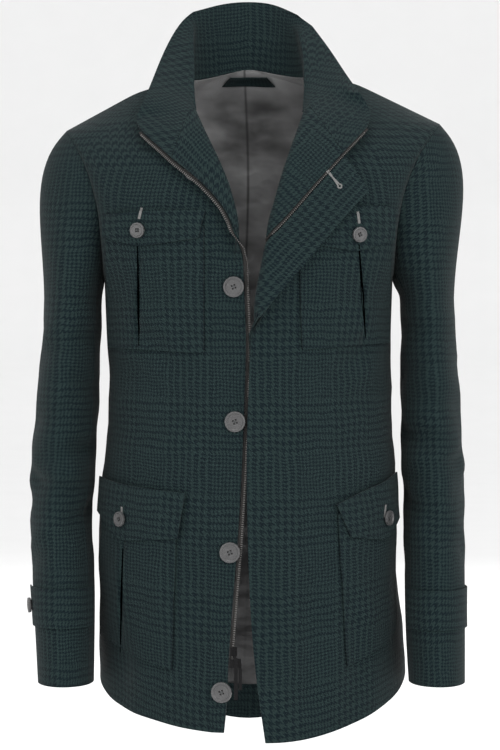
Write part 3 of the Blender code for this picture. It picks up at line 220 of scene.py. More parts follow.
def satin_lining():
    paint = Paint("satin lining", Sheen_Weight=0.1, Specular_IOR_Level=0.5)
    across, along = paint.cloth()
    place = paint.place()
    hang = paint.node("ShaderNodeMapping", 0, Vector=place, Scale=(1.0, 1.0, 1.7))
    # Noise for the satin's folds: it bumps the surface, and in the colour below its bright streaks are
    # painted reflections.
    folds_and_painted_sheen = ((paint.noise(hang, 13.0, 2.5) - 0.5) * 2.3 + 0.58).clamped()
    weave = (across.wave(0.0006) + along.wave(0.0006)) * 0.10
    crease = paint.noise(place, 30.0, 2.0)
    paint.bump(folds_and_painted_sheen * 3.0 + crease * 0.9 + weave * 0.1, 0.0022, 0.9)
    aside = paint.node("ShaderNodeSeparateXYZ", 0, Vector=place)
    height = Signal(paint, aside.socket.node.outputs[2])
    # Painted shade: the colour darkens towards the hem, where the lining lies deep in the jacket's shade.
    upper = ((height + 0.50) * 3.4).clamped() * 0.9 + 0.1
    bend = height.wave(0.45) * 0.0035
    # Painted shade: the colour darkens along the pleat line.
    pleat = ((aside + bend + PLEAT_X).maths("ABSOLUTE") * -420.0 + 1.0).clamped()
    folds_and_painted_sheen = folds_and_painted_sheen * (pleat * -0.85 + 1.0)
    colour = paint.mix(folds_and_painted_sheen * upper, (0.026, 0.026, 0.027, 1), (0.36, 0.36, 0.362, 1))
    return paint.finish(colour, crease * 0.2 + 0.30)


def woven_tape():
    paint = Paint("woven tape", Specular_IOR_Level=0.2)
    place = paint.place()
    rib = paint.noise(place, 900.0, 2.0)
    paint.bump(rib, 0.0003, 0.7)
    return paint.finish(paint.mix(rib, (0.010, 0.0096, 0.0092, 1), (0.024, 0.023, 0.022, 1)), rib * 0.2 + 0.7)


def button_resin():
    paint = Paint("grey button resin", Specular_IOR_Level=0.5, Coat_Weight=0.15, Coat_Roughness=0.3)
    place = paint.place()
    cloud = paint.noise(place, 120.0, 4.0)
    paint.bump(paint.noise(place, 900.0, 2.0), 0.0001, 0.4)
    colour = paint.mix(cloud, (0.038, 0.038, 0.039, 1), (0.066, 0.066, 0.067, 1))
    return paint.finish(colour, cloud * 0.2 + 0.30)


def metal(name, low, high, rough, metallic):
    paint = Paint(name, Metallic=metallic, Specular_IOR_Level=0.12)
    place = paint.place()
    wear = paint.noise(place, 350.0, 4.0)
    paint.bump(paint.noise(place, 1800.0, 2.0), 0.00006, 0.4)
    return paint.finish(paint.mix(wear, low, high), wear * 0.2 + rough)


def thread(name, low, high, shine=0.2):
    paint = Paint(name, Sheen_Weight=shine, Specular_IOR_Level=shine)
    place = paint.place()
    twist = paint.noise(place, 2200.0, 2.0)
    paint.bump(twist, 0.0001, 0.6)
    return paint.finish(paint.mix(twist, low, high), twist * 0.2 + 0.6)


WOOL, SATIN, TAPE, RESIN = check_wool(), satin_lining(), woven_tape(), button_resin()
BLACK = metal("black enamelled metal", (0.004, 0.004, 0.004, 1), (0.006, 0.006, 0.007, 1), 0.12, 0.0)
STEEL = metal("zip teeth metal", (0.085, 0.082, 0.078, 1), (0.19, 0.185, 0.178, 1), 0.32, 0.9)
PALE = thread("pale grey thread", (0.10, 0.10, 0.098, 1), (0.18, 0.18, 0.176, 1))
DIM = thread("button thread", (0.03, 0.035, 0.036, 1), (0.08, 0.085, 0.086, 1))
# Painted shade: a near-black finish that stands for the shade inside button holes and the keyhole's slit.
HOLE_SHADE = thread("painted hole shade", (0.003, 0.003, 0.003, 1), (0.006, 0.006, 0.006, 1))
# Painted shadow: a near-black finish for the sheets laid in the pleats' shaded folds.
FOLD_SHADE = thread("shaded fold", (0.0003, 0.0005, 0.0006, 1), (0.0006, 0.0010, 0.0011, 1), 0.0)
print("materials:", len(bpy.data.materials))

# %% [markdown]
# ## Finer cloth
#
# A solid's triangles are joined back into cells, its crisp rims are marked, and the cells are halved on
# smooth curves.


# %%
def finer(node, times=FINER):
    bm = bmesh.new()
    bm.from_mesh(nodes[node].data)
    bmesh.ops.remove_doubles(bm, verts=bm.verts, dist=WELD)
    bmesh.ops.join_triangles(
        bm,
        faces=bm.faces,
        angle_face_threshold=math.radians(SAME_CELL),
        angle_shape_threshold=math.radians(SAME_SHAPE),
    )
    crisp = bm.edges.layers.float.new("crease_edge")
    for edge in bm.edges:
        if len(edge.link_faces) == 2 and edge.calc_face_angle(0) > math.radians(SHARP):
            edge[crisp] = 1.0
    bm.verts.index_update()
    points = [tuple(v.co) for v in bm.verts]
    faces = [[v.index for v in face.verts] for face in bm.faces]
    creases = {tuple(sorted(v.index for v in e.verts)): e[crisp] for e in bm.edges}
    bm.free()
    mesh = bpy.data.meshes.new("coarse")
    mesh.from_pydata(points, [], faces)
    layer = mesh.attributes.new("crease_edge", "FLOAT", "EDGE")
    for edge in mesh.edges:
        layer.data[edge.index].value = creases[tuple(sorted(edge.vertices))]
    coarse = bpy.data.objects.new("coarse", mesh)
    bpy.context.scene.collection.objects.link(coarse)
    halve = coarse.modifiers.new("halve", "SUBSURF")
    halve.levels = halve.render_levels = times
    coarse.update_tag()
    bpy.context.view_layer.update()
    seen = coarse.evaluated_get(bpy.context.evaluated_depsgraph_get())
    points = np.array([v.co[:] for v in seen.data.vertices])
    faces = [list(p.vertices) for p in seen.data.polygons]
    bpy.data.objects.remove(coarse)
    bpy.data.meshes.remove(mesh)
    return points, faces


CLOTHS = [n for n in nodes if "button" not in n and not n.startswith(("zip_slider", "zip_pull"))]
shapes = {n: finer(n) for n in CLOTHS}
print("cloth pieces:", len(CLOTHS), "points:", sum(len(p) for p, _ in shapes.values()))

# %% [markdown]
# ## The cut cloth
#
# Every point gets its place on the flat cloth, so that the check runs true: round the body by the length
# along its girth, round each sleeve from its middle line, and along the turned-out edge on the facings.

# %%
HALF_WIDE, DEEP_FRONT, DEEP_BACK, SIDE_Y = 0.171, 0.150, 0.128, 0.008
ROUND_BY = 2.3  # 2 would be an ellipse, more is squarer
LEAN_FROM, LEAN_OVER, LEAN = -0.235, 0.52, 0.045  # the check sinks towards the side seams below this height
TURNED_SLOPE = 47  # degrees that the turned-out edges lean
NECK_BACK = 0.075  # y of the collar's back
NECK_ROUND, NECK_RISE = 0.9, 0.15  # share of the collar's depth, rise of its check
RING, RINGS, RING_TOP = 0.02, 12, -0.27  # half a ring's height, the rings of a sleeve, height of the highest
ARM_ROUND, ARM_LONG, ARM_SHIFT = 0.066, 1.01, 0.013  # radius, stretch and shift of a sleeve's check
quarter = np.radians(np.linspace(0, 90, 91))


def girth_table(deep):
    x = HALF_WIDE * np.sin(quarter) ** (2 / ROUND_BY)
    y = deep * np.cos(quarter) ** (2 / ROUND_BY)
    return np.concatenate([[0], np.cumsum(np.hypot(np.diff(x), np.diff(y)))])


GIRTH = {-1: girth_table(DEEP_FRONT), 1: girth_table(DEEP_BACK)}


def smooth(low, high, at):
    u = np.clip((np.asarray(at, float) - low) / (high - low), 0, 1)
    return u * u * (3 - 2 * u)


def on_body(p):
    side = np.where(p[:, 0] < 0, -1.0, 1.0)
    face = np.where(p[:, 1] < SIDE_Y, -1, 1)
    deep = np.where(face < 0, DEEP_FRONT, DEEP_BACK)
    x = np.clip(np.abs(p[:, 0]) / HALF_WIDE, 0, 2)
    y = np.clip(np.abs(p[:, 1] - SIDE_Y) / deep, 0, 2)
    turn = np.arctan2(x ** (ROUND_BY / 2), np.maximum(y, 1e-6) ** (ROUND_BY / 2))
    out = np.where(face < 0, np.interp(turn, quarter, GIRTH[-1]), np.interp(turn, quarter, GIRTH[1]))
    lower = np.clip((LEAN_FROM - p[:, 2]) / LEAN_OVER, 0, 1)
    return np.stack([side * out, p[:, 2] - LEAN * smooth(0, 1.57, turn) * lower**2], axis=1)


def on_turned(side, p):
    slope = math.radians(TURNED_SLOPE)
    lie = side * p[:, 0] * math.cos(slope) + p[:, 2] * math.sin(slope)
    over = -side * p[:, 0] * math.sin(slope) + p[:, 2] * math.cos(slope)
    return np.stack([side * over, lie], axis=1)


def on_collar(p):
    side = np.where(p[:, 0] < 0, -1.0, 1.0)
    round_neck = np.abs(p[:, 0]) + NECK_ROUND * np.maximum(NECK_BACK - p[:, 1], 0)
    return np.stack([side * round_neck, p[:, 2] + NECK_RISE * np.abs(p[:, 0])], axis=1)


def middle_line(side):
    """The middle of a sleeve at each height, and how far round it the cloth is."""
    name = "right" if side == RIGHT else "left"
    p = np.concatenate([shapes[f"sleeve_upper_{name}"][0], shapes[f"sleeve_under_{name}"][0]])
    heights = np.linspace(p[:, 2].min() + RING, RING_TOP, RINGS)
    rings = [p[np.abs(p[:, 2] - h) < RING] for h in heights]
    centre = np.array([(r[:, :2].min(0) + r[:, :2].max(0)) / 2 for r in rings])
    reach = np.array([np.ptp(r[:, :2], axis=0).mean() / 2 for r in rings])
    return heights, centre, reach


ARMS = {side: middle_line(side) for side in (RIGHT, LEFT)}


def arm_frame(side, p):
    heights, centre, reach = ARMS[side]
    x = np.interp(p[:, 2], heights, centre[:, 0])
    y = np.interp(p[:, 2], heights, centre[:, 1])
    top = np.maximum(p[:, 2] - heights[-1], 0)
    x = x + top * (centre[-1, 0] - centre[-4, 0]) / (heights[-1] - heights[-4])
    away = np.stack([side * (p[:, 0] - x), p[:, 1] - y], axis=1)
    return np.arctan2(-away[:, 1], away[:, 0]), away, np.interp(p[:, 2], heights, reach)


def on_arm(side, p):
    turn, _, reach = arm_frame(side, p)
    return np.stack([side * turn * ARM_ROUND, p[:, 2] * ARM_LONG + ARM_SHIFT * side], axis=1)


def side_of(name):
    return RIGHT if name.endswith("_right") else LEFT


def chart(name, p):
    if name.startswith(("sleeve", "cuff")):
        return on_arm(side_of(name), p)
    if name.startswith(("facing", "fly")):
        return on_turned(side_of(name), p)
    if name.startswith("collar"):
        return on_collar(p)
    return on_body(p)


# %% [markdown]
# ## Creases
#
# Creases are soft troughs with a low ridge beside them. Every layer at a place moves by the same amount, so
# pockets, flaps and lining stay clear of the wool under them. Near the buttons and the open edge nothing
# moves.

# %%
BODY_CREASES = (  # side, face, x and height of the start, x and height of the end, depth, width
    (RIGHT, -1, 0.150, -0.275, 0.085, -0.335, 0.0032, 0.010),
    (RIGHT, -1, 0.158, -0.330, 0.095, -0.365, 0.0024, 0.009),
    (RIGHT, -1, 0.160, -0.400, 0.100, -0.415, 0.0030, 0.012),
    (RIGHT, -1, 0.150, -0.470, 0.080, -0.445, 0.0022, 0.011),
    (RIGHT, -1, 0.060, -0.560, 0.066, -0.700, 0.0030, 0.014),
    (RIGHT, -1, 0.150, -0.640, 0.155, -0.735, 0.0030, 0.013),
    (LEFT, -1, 0.152, -0.280, 0.090, -0.350, 0.0034, 0.011),
    (LEFT, -1, 0.160, -0.345, 0.080, -0.385, 0.0026, 0.010),
    (LEFT, -1, 0.162, -0.420, 0.085, -0.425, 0.0030, 0.012),
    (LEFT, -1, 0.158, -0.480, 0.070, -0.455, 0.0022, 0.010),
    (LEFT, -1, 0.070, -0.580, 0.062, -0.730, 0.0034, 0.015),
    (LEFT, -1, 0.115, -0.600, 0.120, -0.740, 0.0026, 0.013),
    (RIGHT, 1, 0.150, -0.270, 0.060, -0.330, 0.0036, 0.012),
    (RIGHT, 1, 0.155, -0.370, 0.040, -0.385, 0.0030, 0.013),
    (RIGHT, 1, 0.090, -0.500, 0.100, -0.740, 0.0040, 0.018),
    (LEFT, 1, 0.150, -0.275, 0.055, -0.340, 0.0034, 0.012),
    (LEFT, 1, 0.155, -0.380, 0.045, -0.395, 0.0032, 0.013),
    (LEFT, 1, 0.085, -0.510, 0.098, -0.740, 0.0040, 0.018),
)
# degrees round the arm from its outside to the front, height, degrees each way, slant, depth, width
ARM_CREASES = (
    (95, -0.300, 60, 0.020, 0.0034, 0.010),
    (120, -0.345, 55, -0.016, 0.0028, 0.009),
    (70, -0.385, 50, 0.018, 0.0030, 0.010),
    (110, -0.425, 65, 0.012, 0.0040, 0.011),
    (80, -0.462, 60, -0.018, 0.0036, 0.010),
    (130, -0.500, 60, 0.015, 0.0034, 0.011),
    (60, -0.545, 50, 0.022, 0.0026, 0.010),
    (-100, -0.340, 60, 0.020, 0.0030, 0.011),
    (-80, -0.430, 60, -0.016, 0.0036, 0.012),
    (-120, -0.510, 60, 0.014, 0.0030, 0.011),
    (-20, -0.360, 40, 0.010, 0.0016, 0.012),
    (10, -0.480, 40, -0.012, 0.0018, 0.012),
)
ARM_DEEPER = 1.5  # the sleeves crease more than the body
LOW, HIGH = 0.018, 0.040  # nothing moves nearer to a button than the first, all moves beyond the second
UNDERARM = (0.16, -0.235)  # distance from the middle and height of the seam's lowest point
BODY_SEED, ARM_SEED = 1.3, 2.1  # where the unevenness of the body and of the arms starts
ARM_ROLL = 1.3  # the arms are more uneven than the body
# Each pair is where a movement begins and where it is full.
SIDE_ZONE, SIDE_HEIGHT = (0.186, 0.140), (-0.15, -0.22)
MIDDLE_ZONE, CHEST_HEIGHT = (0.30, 0.10), (-0.225, -0.275)
ROLL_HEIGHT, OPEN_EDGE, SEAM_ZONE = (-0.18, -0.26), (0.026, 0.055), (0.06, 0.10)
ARM_TOP, ARM_CUFF = (-0.235, -0.30), (-0.585, -0.560)
LINING_SIDE, LINING_TOP, LINING_HEM = (0.12, 0.07), (0.0, -0.03), (-0.73, -0.70)
buttons = {n: (Vector(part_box(n)[0]) + Vector(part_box(n)[1])) / 2 for n in nodes if "button" in n}


def profile(across):
    """A trough with a low ridge on one side, for a distance in widths."""
    return -np.exp(-(across**2)) + 0.45 * np.exp(-((across - 1.9) ** 2))


def roll(p, seed):
    """The slow unevenness of heavy wool."""
    a = np.sin(p[:, 0] * 47 + p[:, 2] * 31 + seed) * np.sin(p[:, 2] * 39 - p[:, 0] * 17 + 2 * seed)
    b = np.sin(p[:, 0] * 83 - p[:, 2] * 61 + 3 * seed) * np.sin(p[:, 2] * 71 + p[:, 1] * 53 + seed)
    return 0.0011 * a + 0.0006 * b


def calm(p):
    keep = np.ones(len(p))
    for spot in buttons.values():
        keep *= smooth(LOW, HIGH, np.linalg.norm(p - np.array(spot), axis=1))
    return keep


def body_move(p):
    x, y, z = p[:, 0], p[:, 1], p[:, 2]
    face = np.where(y < SIDE_Y, -1, 1)
    high = np.zeros(len(p))
    for side, where, x0, z0, x1, z1, depth, wide in BODY_CREASES:
        start, end = np.array([side * x0, z0]), np.array([side * x1, z1])
        way = end - start
        length = np.linalg.norm(way)
        at = np.stack([x, z], axis=1) - start
        t = at @ way / length**2
        bow = 0.006 * np.sin(np.pi * np.clip(t, 0, 1))
        across = (at @ np.array([-way[1], way[0]]) / length - bow) / wide
        ends = smooth(-0.25, 0.2, t) * smooth(1.25, 0.7, t)
        high += np.where(face == where, depth * profile(across) * ends, 0)
    middle = smooth(*CHEST_HEIGHT, z) * smooth(*MIDDLE_ZONE, np.abs(x))
    high = high * np.maximum(middle, smooth(*SIDE_ZONE, np.abs(x)) * smooth(*SIDE_HEIGHT, z))
    high = high + roll(p, BODY_SEED) * smooth(*ROLL_HEIGHT, z)
    front = np.where(face < 0, smooth(*OPEN_EDGE, np.abs(x)), 1)
    from_seam = np.abs(z - UNDERARM[1]) + np.maximum(UNDERARM[0] - np.abs(x), 0)
    seam = smooth(*SEAM_ZONE, from_seam)
    out = np.stack([x / HALF_WIDE**2, (y - SIDE_Y) / DEEP_FRONT**2], axis=1)
    out /= np.maximum(np.linalg.norm(out, axis=1, keepdims=True), 1e-9)
    return np.column_stack([out, np.zeros(len(p))]) * (high * front * seam * calm(p))[:, None]


def arm_move(side, p):
    turn, away, _ = arm_frame(side, p)
    turn = np.degrees(turn)
    high = np.zeros(len(p))
    for middle, height, each, slant, depth, wide in ARM_CREASES:
        middle, height = middle + 7 * side, height + 0.009 * side
        off = (turn - middle + 180) % 360 - 180
        across = (p[:, 2] - height - slant * np.sin(np.radians(off))) / wide
        high += ARM_DEEPER * depth * profile(across) * smooth(each, 0.25 * each, np.abs(off))
    high = (high + ARM_ROLL * roll(p, ARM_SEED + side)) * smooth(*ARM_TOP, p[:, 2])
    high *= smooth(*ARM_CUFF, p[:, 2])
    out = away / np.maximum(np.linalg.norm(away, axis=1, keepdims=True), 1e-9)
    return np.column_stack([side * out[:, 0], out[:, 1], np.zeros(len(p))]) * (high * calm(p))[:, None]


def lining_move(p):
    """The satin's own folds: a pleat down the middle and slack beside it."""
    x, z = p[:, 0], p[:, 2]
    line = -PLEAT_X + 0.004 * np.sin(z * 14)
    pleat = 0.0045 * np.exp(-(((x - line) / 0.004) ** 2))
    pleat = pleat - 0.0028 * np.exp(-(((x - line - 0.010) / 0.007) ** 2))
    slack = 0.0022 * np.sin(x * 130 + z * 60 + 2 * np.sin(z * 22)) * np.sin(z * 47 + x * 31)
    inside = smooth(*LINING_SIDE, np.abs(x)) * smooth(*LINING_TOP, z) * smooth(*LINING_HEM, z)
    return np.column_stack([np.zeros(len(p)), -np.abs(pleat + slack) * inside, np.zeros(len(p))])


def moved(name, p):
    if name.startswith(("sleeve", "cuff")):
        return p + arm_move(side_of(name), p)
    if name.startswith("collar") or name == "neck_tab":
        return p
    made = p + body_move(p)
    return made + lining_move(p) if name == "back_lining" else made


# %% [markdown]
# ## Making the cloth pieces
#
# Each piece rides on the jacket and stands for its solid. Its cut size is the rectangle round its chart. A
# slanted strip is measured along itself, and a bent or wrapped one gets its mean width.

# %%
RESTS = {
    "chest_flap": "chest_pocket", "hip_flap": "hip_pocket", "chest_pocket": "front", "hip_pocket": "front",
    "cuff_strap": "sleeve_upper", "facing": "front", "fly": "front", "zip_tape": "facing",
    "sleeve_upper": "sleeve_under", "sleeve_under": "sleeve_upper", "front": "back",
}


def area_of(p, faces):
    total = 0.0
    for f in faces:
        a, b, c = p[f[0]], p[f[1]], p[f[2]]
        total += np.linalg.norm(np.cross(b - a, c - a)) / 2
        if len(f) == 4:
            d = p[f[3]]
            total += np.linalg.norm(np.cross(c - a, d - a)) / 2
    return total


def show(name, points, faces, finish, spots=None, body="jacket"):
    mesh = bpy.data.meshes.new(name)
    mesh.from_pydata([tuple(p) for p in points], [], faces)
    mesh.materials.append(finish)
    if spots is not None:
        layer = mesh.uv_layers.new(name="cloth")
        corner = np.empty(len(mesh.loops), dtype=int)
        mesh.loops.foreach_get("vertex_index", corner)
        layer.data.foreach_set("uv", spots[corner].astype(np.float32).ravel())
    mesh.shade_smooth()
    mesh.set_sharp_from_angle(angle=math.radians(SHARP))
    made = bpy.data.objects.new(name, mesh)
    bpy.context.scene.collection.objects.link(made)
    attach(made, body)
    return made


def turned_size(spots):
    """Width and length of the smallest rectangle round a chart, turned by up to half a right angle."""
    sizes = []
    for turn in np.radians(np.arange(-44, 46)):
        across, up = (math.cos(turn), math.sin(turn)), (-math.sin(turn), math.cos(turn))
        sizes.append((np.ptp(spots @ np.array(across)), np.ptp(spots @ np.array(up))))
    return min(sizes, key=lambda size: size[0] * size[1])


pieces, cuts = {}, {}
for name in CLOTHS:
    points, faces = shapes[name]
    spots = chart(name, points)
    finish, slot = (TAPE, "zip_tape") if "tape" in name else (WOOL, "wool")
    if name == "back_lining":
        finish, slot = SATIN, "lining"
    points = moved(name, points)
    piece = show(f"{name}_cloth", points, faces, finish, spots)
    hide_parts(name)
    area = area_of(points, faces) / 2
    wide, long = np.ptp(spots, axis=0)
    how = "as charted"
    if area < LEAST_FILLED * wide * long:  # a slanted strip is measured along itself
        (wide, long), how = turned_size(spots), "turned"
    if not LEAST_FILLED * wide * long <= area <= wide * long:  # a bent or wrapped one by its mean width
        wide, how = area / long, "mean width"
    if wide < NARROWEST:
        wide, how = NARROWEST, "least width that can be stated"
    print("cut", name, round(wide * 1000, 1), round(long * 1000), how)
    pieces[name], cuts[name] = piece, (float(wide), float(long), float(area))

for name, piece in pieces.items():
    stem, _, side = name.rpartition("_")
    under = RESTS.get(stem)
    under = "back" if under == "back" else f"{under}_{side}" if under else None
    on = [pieces[under]] if under in pieces else [pieces["back" if name != "back" else "front_left"]]
    wide, long, area = cuts[name]
print("cloth shown:", len(pieces), "largest cut:", max(cuts.items(), key=lambda c: c[1][2]))

# %% [markdown]
# ## Buttons, sliders and pulls
#
# These solids keep their shape and get their finish.

# %%
for name, node in nodes.items():
    if name in pieces:
        continue
    node.data.materials.clear()
    node.data.materials.append(RESIN if "button" in name else BLACK)
    node.data.shade_smooth()
    node.data.set_sharp_from_angle(angle=math.radians(SOLID_SHARP))

# %% [markdown]
# ## Setting small shapes along a line
#
# One Geometry Nodes group sets a shape at every point of a line: a zip tooth, or a stitch of a buttonhole.


# %%
def setter():
    tree = bpy.data.node_groups.new("Set along a line", "GeometryNodeTree")
    sockets = {}
    kinds = {"Line": "Geometry", "Shape": "Object", "Finish": "Material", "Unevenness": "Float"}
    for label, kind in kinds.items():
        socket = tree.interface.new_socket(label, in_out="INPUT", socket_type=f"NodeSocket{kind}")
        sockets[label] = socket.identifier
    tree.interface.new_socket("Pieces", in_out="OUTPUT", socket_type="NodeSocketGeometry")

    def add(kind, **settings):
        made = tree.nodes.new(kind)
        for key, value in settings.items():
            setattr(made, key, value)
        return made

    start, end = add("NodeGroupInput"), add("NodeGroupOutput")
    info = add("GeometryNodeObjectInfo", transform_space="ORIGINAL")
    put, join = add("GeometryNodeInstanceOnPoints"), add("GeometryNodeRealizeInstances")
    paint = add("GeometryNodeSetMaterial")
    turn = add("FunctionNodeAxesToRotation", primary_axis="Z", secondary_axis="X")
    out, along = (add("GeometryNodeInputNamedAttribute", data_type="FLOAT_VECTOR") for _ in range(2))
    out.inputs["Name"].default_value, along.inputs["Name"].default_value = "out", "along"
    chance = add("FunctionNodeRandomValue", data_type="FLOAT")
    less, more = add("ShaderNodeMath", operation="SUBTRACT"), add("ShaderNodeMath", operation="ADD")
    less.inputs[0].default_value = more.inputs[0].default_value = 1.0
    chance.inputs["Seed"].default_value = 7
    tie = tree.links.new
    tie(start.outputs["Unevenness"], less.inputs[1])
    tie(start.outputs["Unevenness"], more.inputs[1])
    tie(less.outputs[0], chance.inputs[2])
    tie(more.outputs[0], chance.inputs[3])
    tie(start.outputs["Line"], put.inputs["Points"])
    tie(start.outputs["Shape"], info.inputs["Object"])
    tie(info.outputs["Geometry"], put.inputs["Instance"])
    tie(out.outputs["Attribute"], turn.inputs["Primary Axis"])
    tie(along.outputs["Attribute"], turn.inputs["Secondary Axis"])
    tie(turn.outputs["Rotation"], put.inputs["Rotation"])
    tie(chance.outputs[1], put.inputs["Scale"])
    tie(put.outputs["Instances"], join.inputs["Geometry"])
    tie(join.outputs["Geometry"], paint.inputs["Geometry"])
    tie(start.outputs["Finish"], paint.inputs["Material"])
    tie(paint.outputs["Geometry"], end.inputs["Pieces"])
    return tree, sockets


SET_ALONG, SOCKETS = setter()


def small_box(name, sizes, round_off):
    bm = bmesh.new()
    bmesh.ops.create_cube(bm, size=1.0)
    bmesh.ops.scale(bm, vec=sizes, verts=bm.verts)
    bmesh.ops.bevel(bm, geom=bm.edges, offset=round_off, segments=2, affect="EDGES", profile=0.5)
    mesh = bpy.data.meshes.new(name)
    bm.to_mesh(mesh)
    bm.free()
    mesh.shade_smooth()
    return bpy.data.objects.new(name, mesh)


def set_along(name, points, along, out, shape, finish, uneven=0.04):
    """Sets the shape at each point, its X along the line and its Z out of the cloth."""
    mesh = bpy.data.meshes.new(name)
    mesh.from_pydata([tuple(p) for p in points], [], [])
    for label, values in (("along", along), ("out", out)):
        layer = mesh.attributes.new(label, "FLOAT_VECTOR", "POINT")
        layer.data.foreach_set("vector", np.asarray(values, np.float32).ravel())
    line = bpy.data.objects.new(name, mesh)
    bpy.context.scene.collection.objects.link(line)
    group = line.modifiers.new("set", "NODES")
    group.node_group = SET_ALONG
    group[SOCKETS["Shape"]], group[SOCKETS["Finish"]], group[SOCKETS["Unevenness"]] = shape, finish, uneven
    line.update_tag()
    bpy.context.view_layer.update()
    seen = line.evaluated_get(bpy.context.evaluated_depsgraph_get())
    done = bpy.data.meshes.new_from_object(seen)
    line.modifiers.remove(group)
    line.data = done
    bpy.data.meshes.remove(mesh)
    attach(line, "jacket")
    return line


# %% [markdown]
# ## The zip teeth
#
# The long edges of each tape are found on its solid by following its crisp edges, and the teeth stand at
# even steps along them.

# %%
def sharp_chains(node):
    """The long crisp lines of a solid, each as points in order."""
    bm = bmesh.new()
    bm.from_mesh(nodes[node].data)
    bmesh.ops.remove_doubles(bm, verts=bm.verts, dist=WELD)
    crisp = {v: [] for v in bm.verts}
    for edge in bm.edges:
        if edge.calc_face_angle(0) > math.radians(TAPE_SHARP):
            for v in edge.verts:
                crisp[v].append(edge)
    chains, used = [], set()
    for start in [v for v, edges in crisp.items() if len(edges) >= 3]:
        for edge in crisp[start]:
            if edge in used:
                continue
            line, at, step = [start], start, edge
            while True:
                used.add(step)
                at = step.other_vert(at)
                line.append(at)
                onward = [e for e in crisp[at] if e not in used]
                if len(crisp[at]) != 2 or not onward:
                    break
                step = onward[0]
            if len(line) > LEAST_LINE:
                chains.append(np.array([v.co[:] for v in line]))
    bm.free()
    return chains


def evenly(line, step):
    """Points at even steps along a line."""
    lengths = np.concatenate([[0], np.cumsum(np.linalg.norm(np.diff(line, axis=0), axis=1))])
    at = np.arange(step / 2, lengths[-1], step)
    return np.stack([np.interp(at, lengths, line[:, k]) for k in range(3)], axis=1)


def unit(v):
    return v / np.maximum(np.linalg.norm(v, axis=-1, keepdims=True), 1e-12)


tooth = small_box("tooth", TOOTH, TOOTH_ROUND)
# name, tape, lowest and highest top of its lines, y of the way its teeth face, 0 for the tape's edge
PARTS = (
    ("zip_teeth_right", "zip_tape_right", -0.10, 0.0, 0),
    ("zip_teeth_left", "zip_tape_left", -0.10, 0.0, -1),
    ("zip_teeth_left_low", "zip_tape_left", -0.30, -0.10, 1),
)
for name, tape, low, high, face in PARTS:
    chains = [c if c[0, 2] < c[-1, 2] else c[::-1] for c in sharp_chains(tape)]
    chains = sorted((c for c in chains if low < c[-1, 2] < high), key=lambda c: -c[0, 0])
    rows = [evenly(c, TOOTH_STEP) for c in chains[:TAPE_LINES]]
    count = min(len(r) for r in rows)
    rows = [r[:count] for r in rows]
    if face:  # this tape lies in a channel, so its teeth stand on its face, in the middle
        through = rows[0] - rows[1]
        through *= face * np.sign(through[:, 1].mean())
        out = unit(through)
        middle = sum(rows) / TAPE_LINES + out * TEETH_PROUD
    else:
        middle = (rows[0] + rows[1]) / 2
        out = unit(np.cross(np.gradient(middle, axis=0), unit(rows[2] - middle)))
    set_along(name, middle, unit(np.gradient(middle, axis=0)), out, tooth, STEEL, 0.03)
    print(name, count)

# %% [markdown]
# ## Buttonholes and button thread
#
# The places are read off the front view, and a ray finds the cloth behind each.

# %%
cloth_points, cloth_faces = [], []
for piece in pieces.values():
    start = len(cloth_points)
    cloth_points += [v.co[:] for v in piece.data.vertices]
    cloth_faces += [[start + v for v in p.vertices] for p in piece.data.polygons]
front_view = BVHTree.FromPolygons(cloth_points, cloth_faces)


def on_cloth(x, z):
    """The cloth that the viewer in front sees at this place, and its way out."""
    hit, out, _, _ = front_view.ray_cast(Vector((x, -1, z)), Vector((0, 1, 0)))
    return np.array(hit), np.array(out if out.y < 0 else -out)


def stitched(name, line, finish, sizes, step=THREAD_STEP, lift=0.0002):
    places = evenly(np.array(line), step)
    hits = [on_cloth(x, z) for x, _, z in places]
    out = unit(np.array([h[1] for h in hits]))
    points = np.array([h[0] for h in hits]) + out * lift
    along = unit(np.gradient(places, axis=0))
    stitch = small_box(name + "_stitch", sizes, 0.3 * min(sizes))
    return set_along(name, points, along, out, stitch, finish, 0.12)


BARS = (  # name, x and height of the top, x and height of the bottom
    ("bar_chest_right", -0.1211, -0.1525, -0.1240, -0.1650),
    ("bar_chest_left", 0.1238, -0.1570, 0.1255, -0.1705),
    ("bar_hip_right", -0.1452, -0.4940, -0.1452, -0.5100),
    ("bar_hip_left", 0.1580, -0.4930, 0.1565, -0.5070),
)
for name, x0, z0, x1, z1 in BARS:
    stitched(name, [(x0, 0, z0), (x1, 0, z1)], PALE, (0.0006, 0.0030, 0.0007))

EYE, END, EYE_SIZE, SLIT = np.array((0.1030, -0.1285)), np.array((0.0890, -0.1110)), 0.0022, 0.0010
turns = np.radians(np.linspace(-150, 150, 25))
way = (END - EYE) / np.linalg.norm(END - EYE)
beside = np.array([-way[1], way[0]])
loop = [EYE - EYE_SIZE * (np.cos(t) * way + np.sin(t) * beside) for t in turns]
path = [END - beside * SLIT, *loop, END + beside * SLIT]
stitched("keyhole_thread", [(x, 0, z) for x, z in path], PALE, (0.0006, 0.0018, 0.0008))
# Painted shade: a near-black line of small boxes stands for the shaded opening of the keyhole's slit.
stitched("keyhole_slit", [(*END[:1], 0, END[1]), (EYE[0], 0, EYE[1])], HOLE_SHADE, (0.0008, 0.0010, 0.0004), 0.0004)

# %% [markdown]
# The pockets' box pleats get a painted shadow under the flap: a dark narrow wedge laid on the cloth, where
# the fold is in shade.

# %%
PLEAT_SHADOWS = (  # name, x and height of the top, x and height of the bottom, widest, where it is widest
    ("pleat_chest_right", -0.1260, -0.1930, -0.1250, -0.3100, 0.0034, 0.55),
    ("pleat_chest_left", 0.1250, -0.1940, 0.1340, -0.3000, 0.0036, 0.60),
    ("pleat_hip_right", -0.1440, -0.5420, -0.1480, -0.6650, 0.0028, 0.45),
)
PLEAT_LIFT, PLEAT_THICK, PLEAT_CELLS = 0.0003, 0.0004, 24
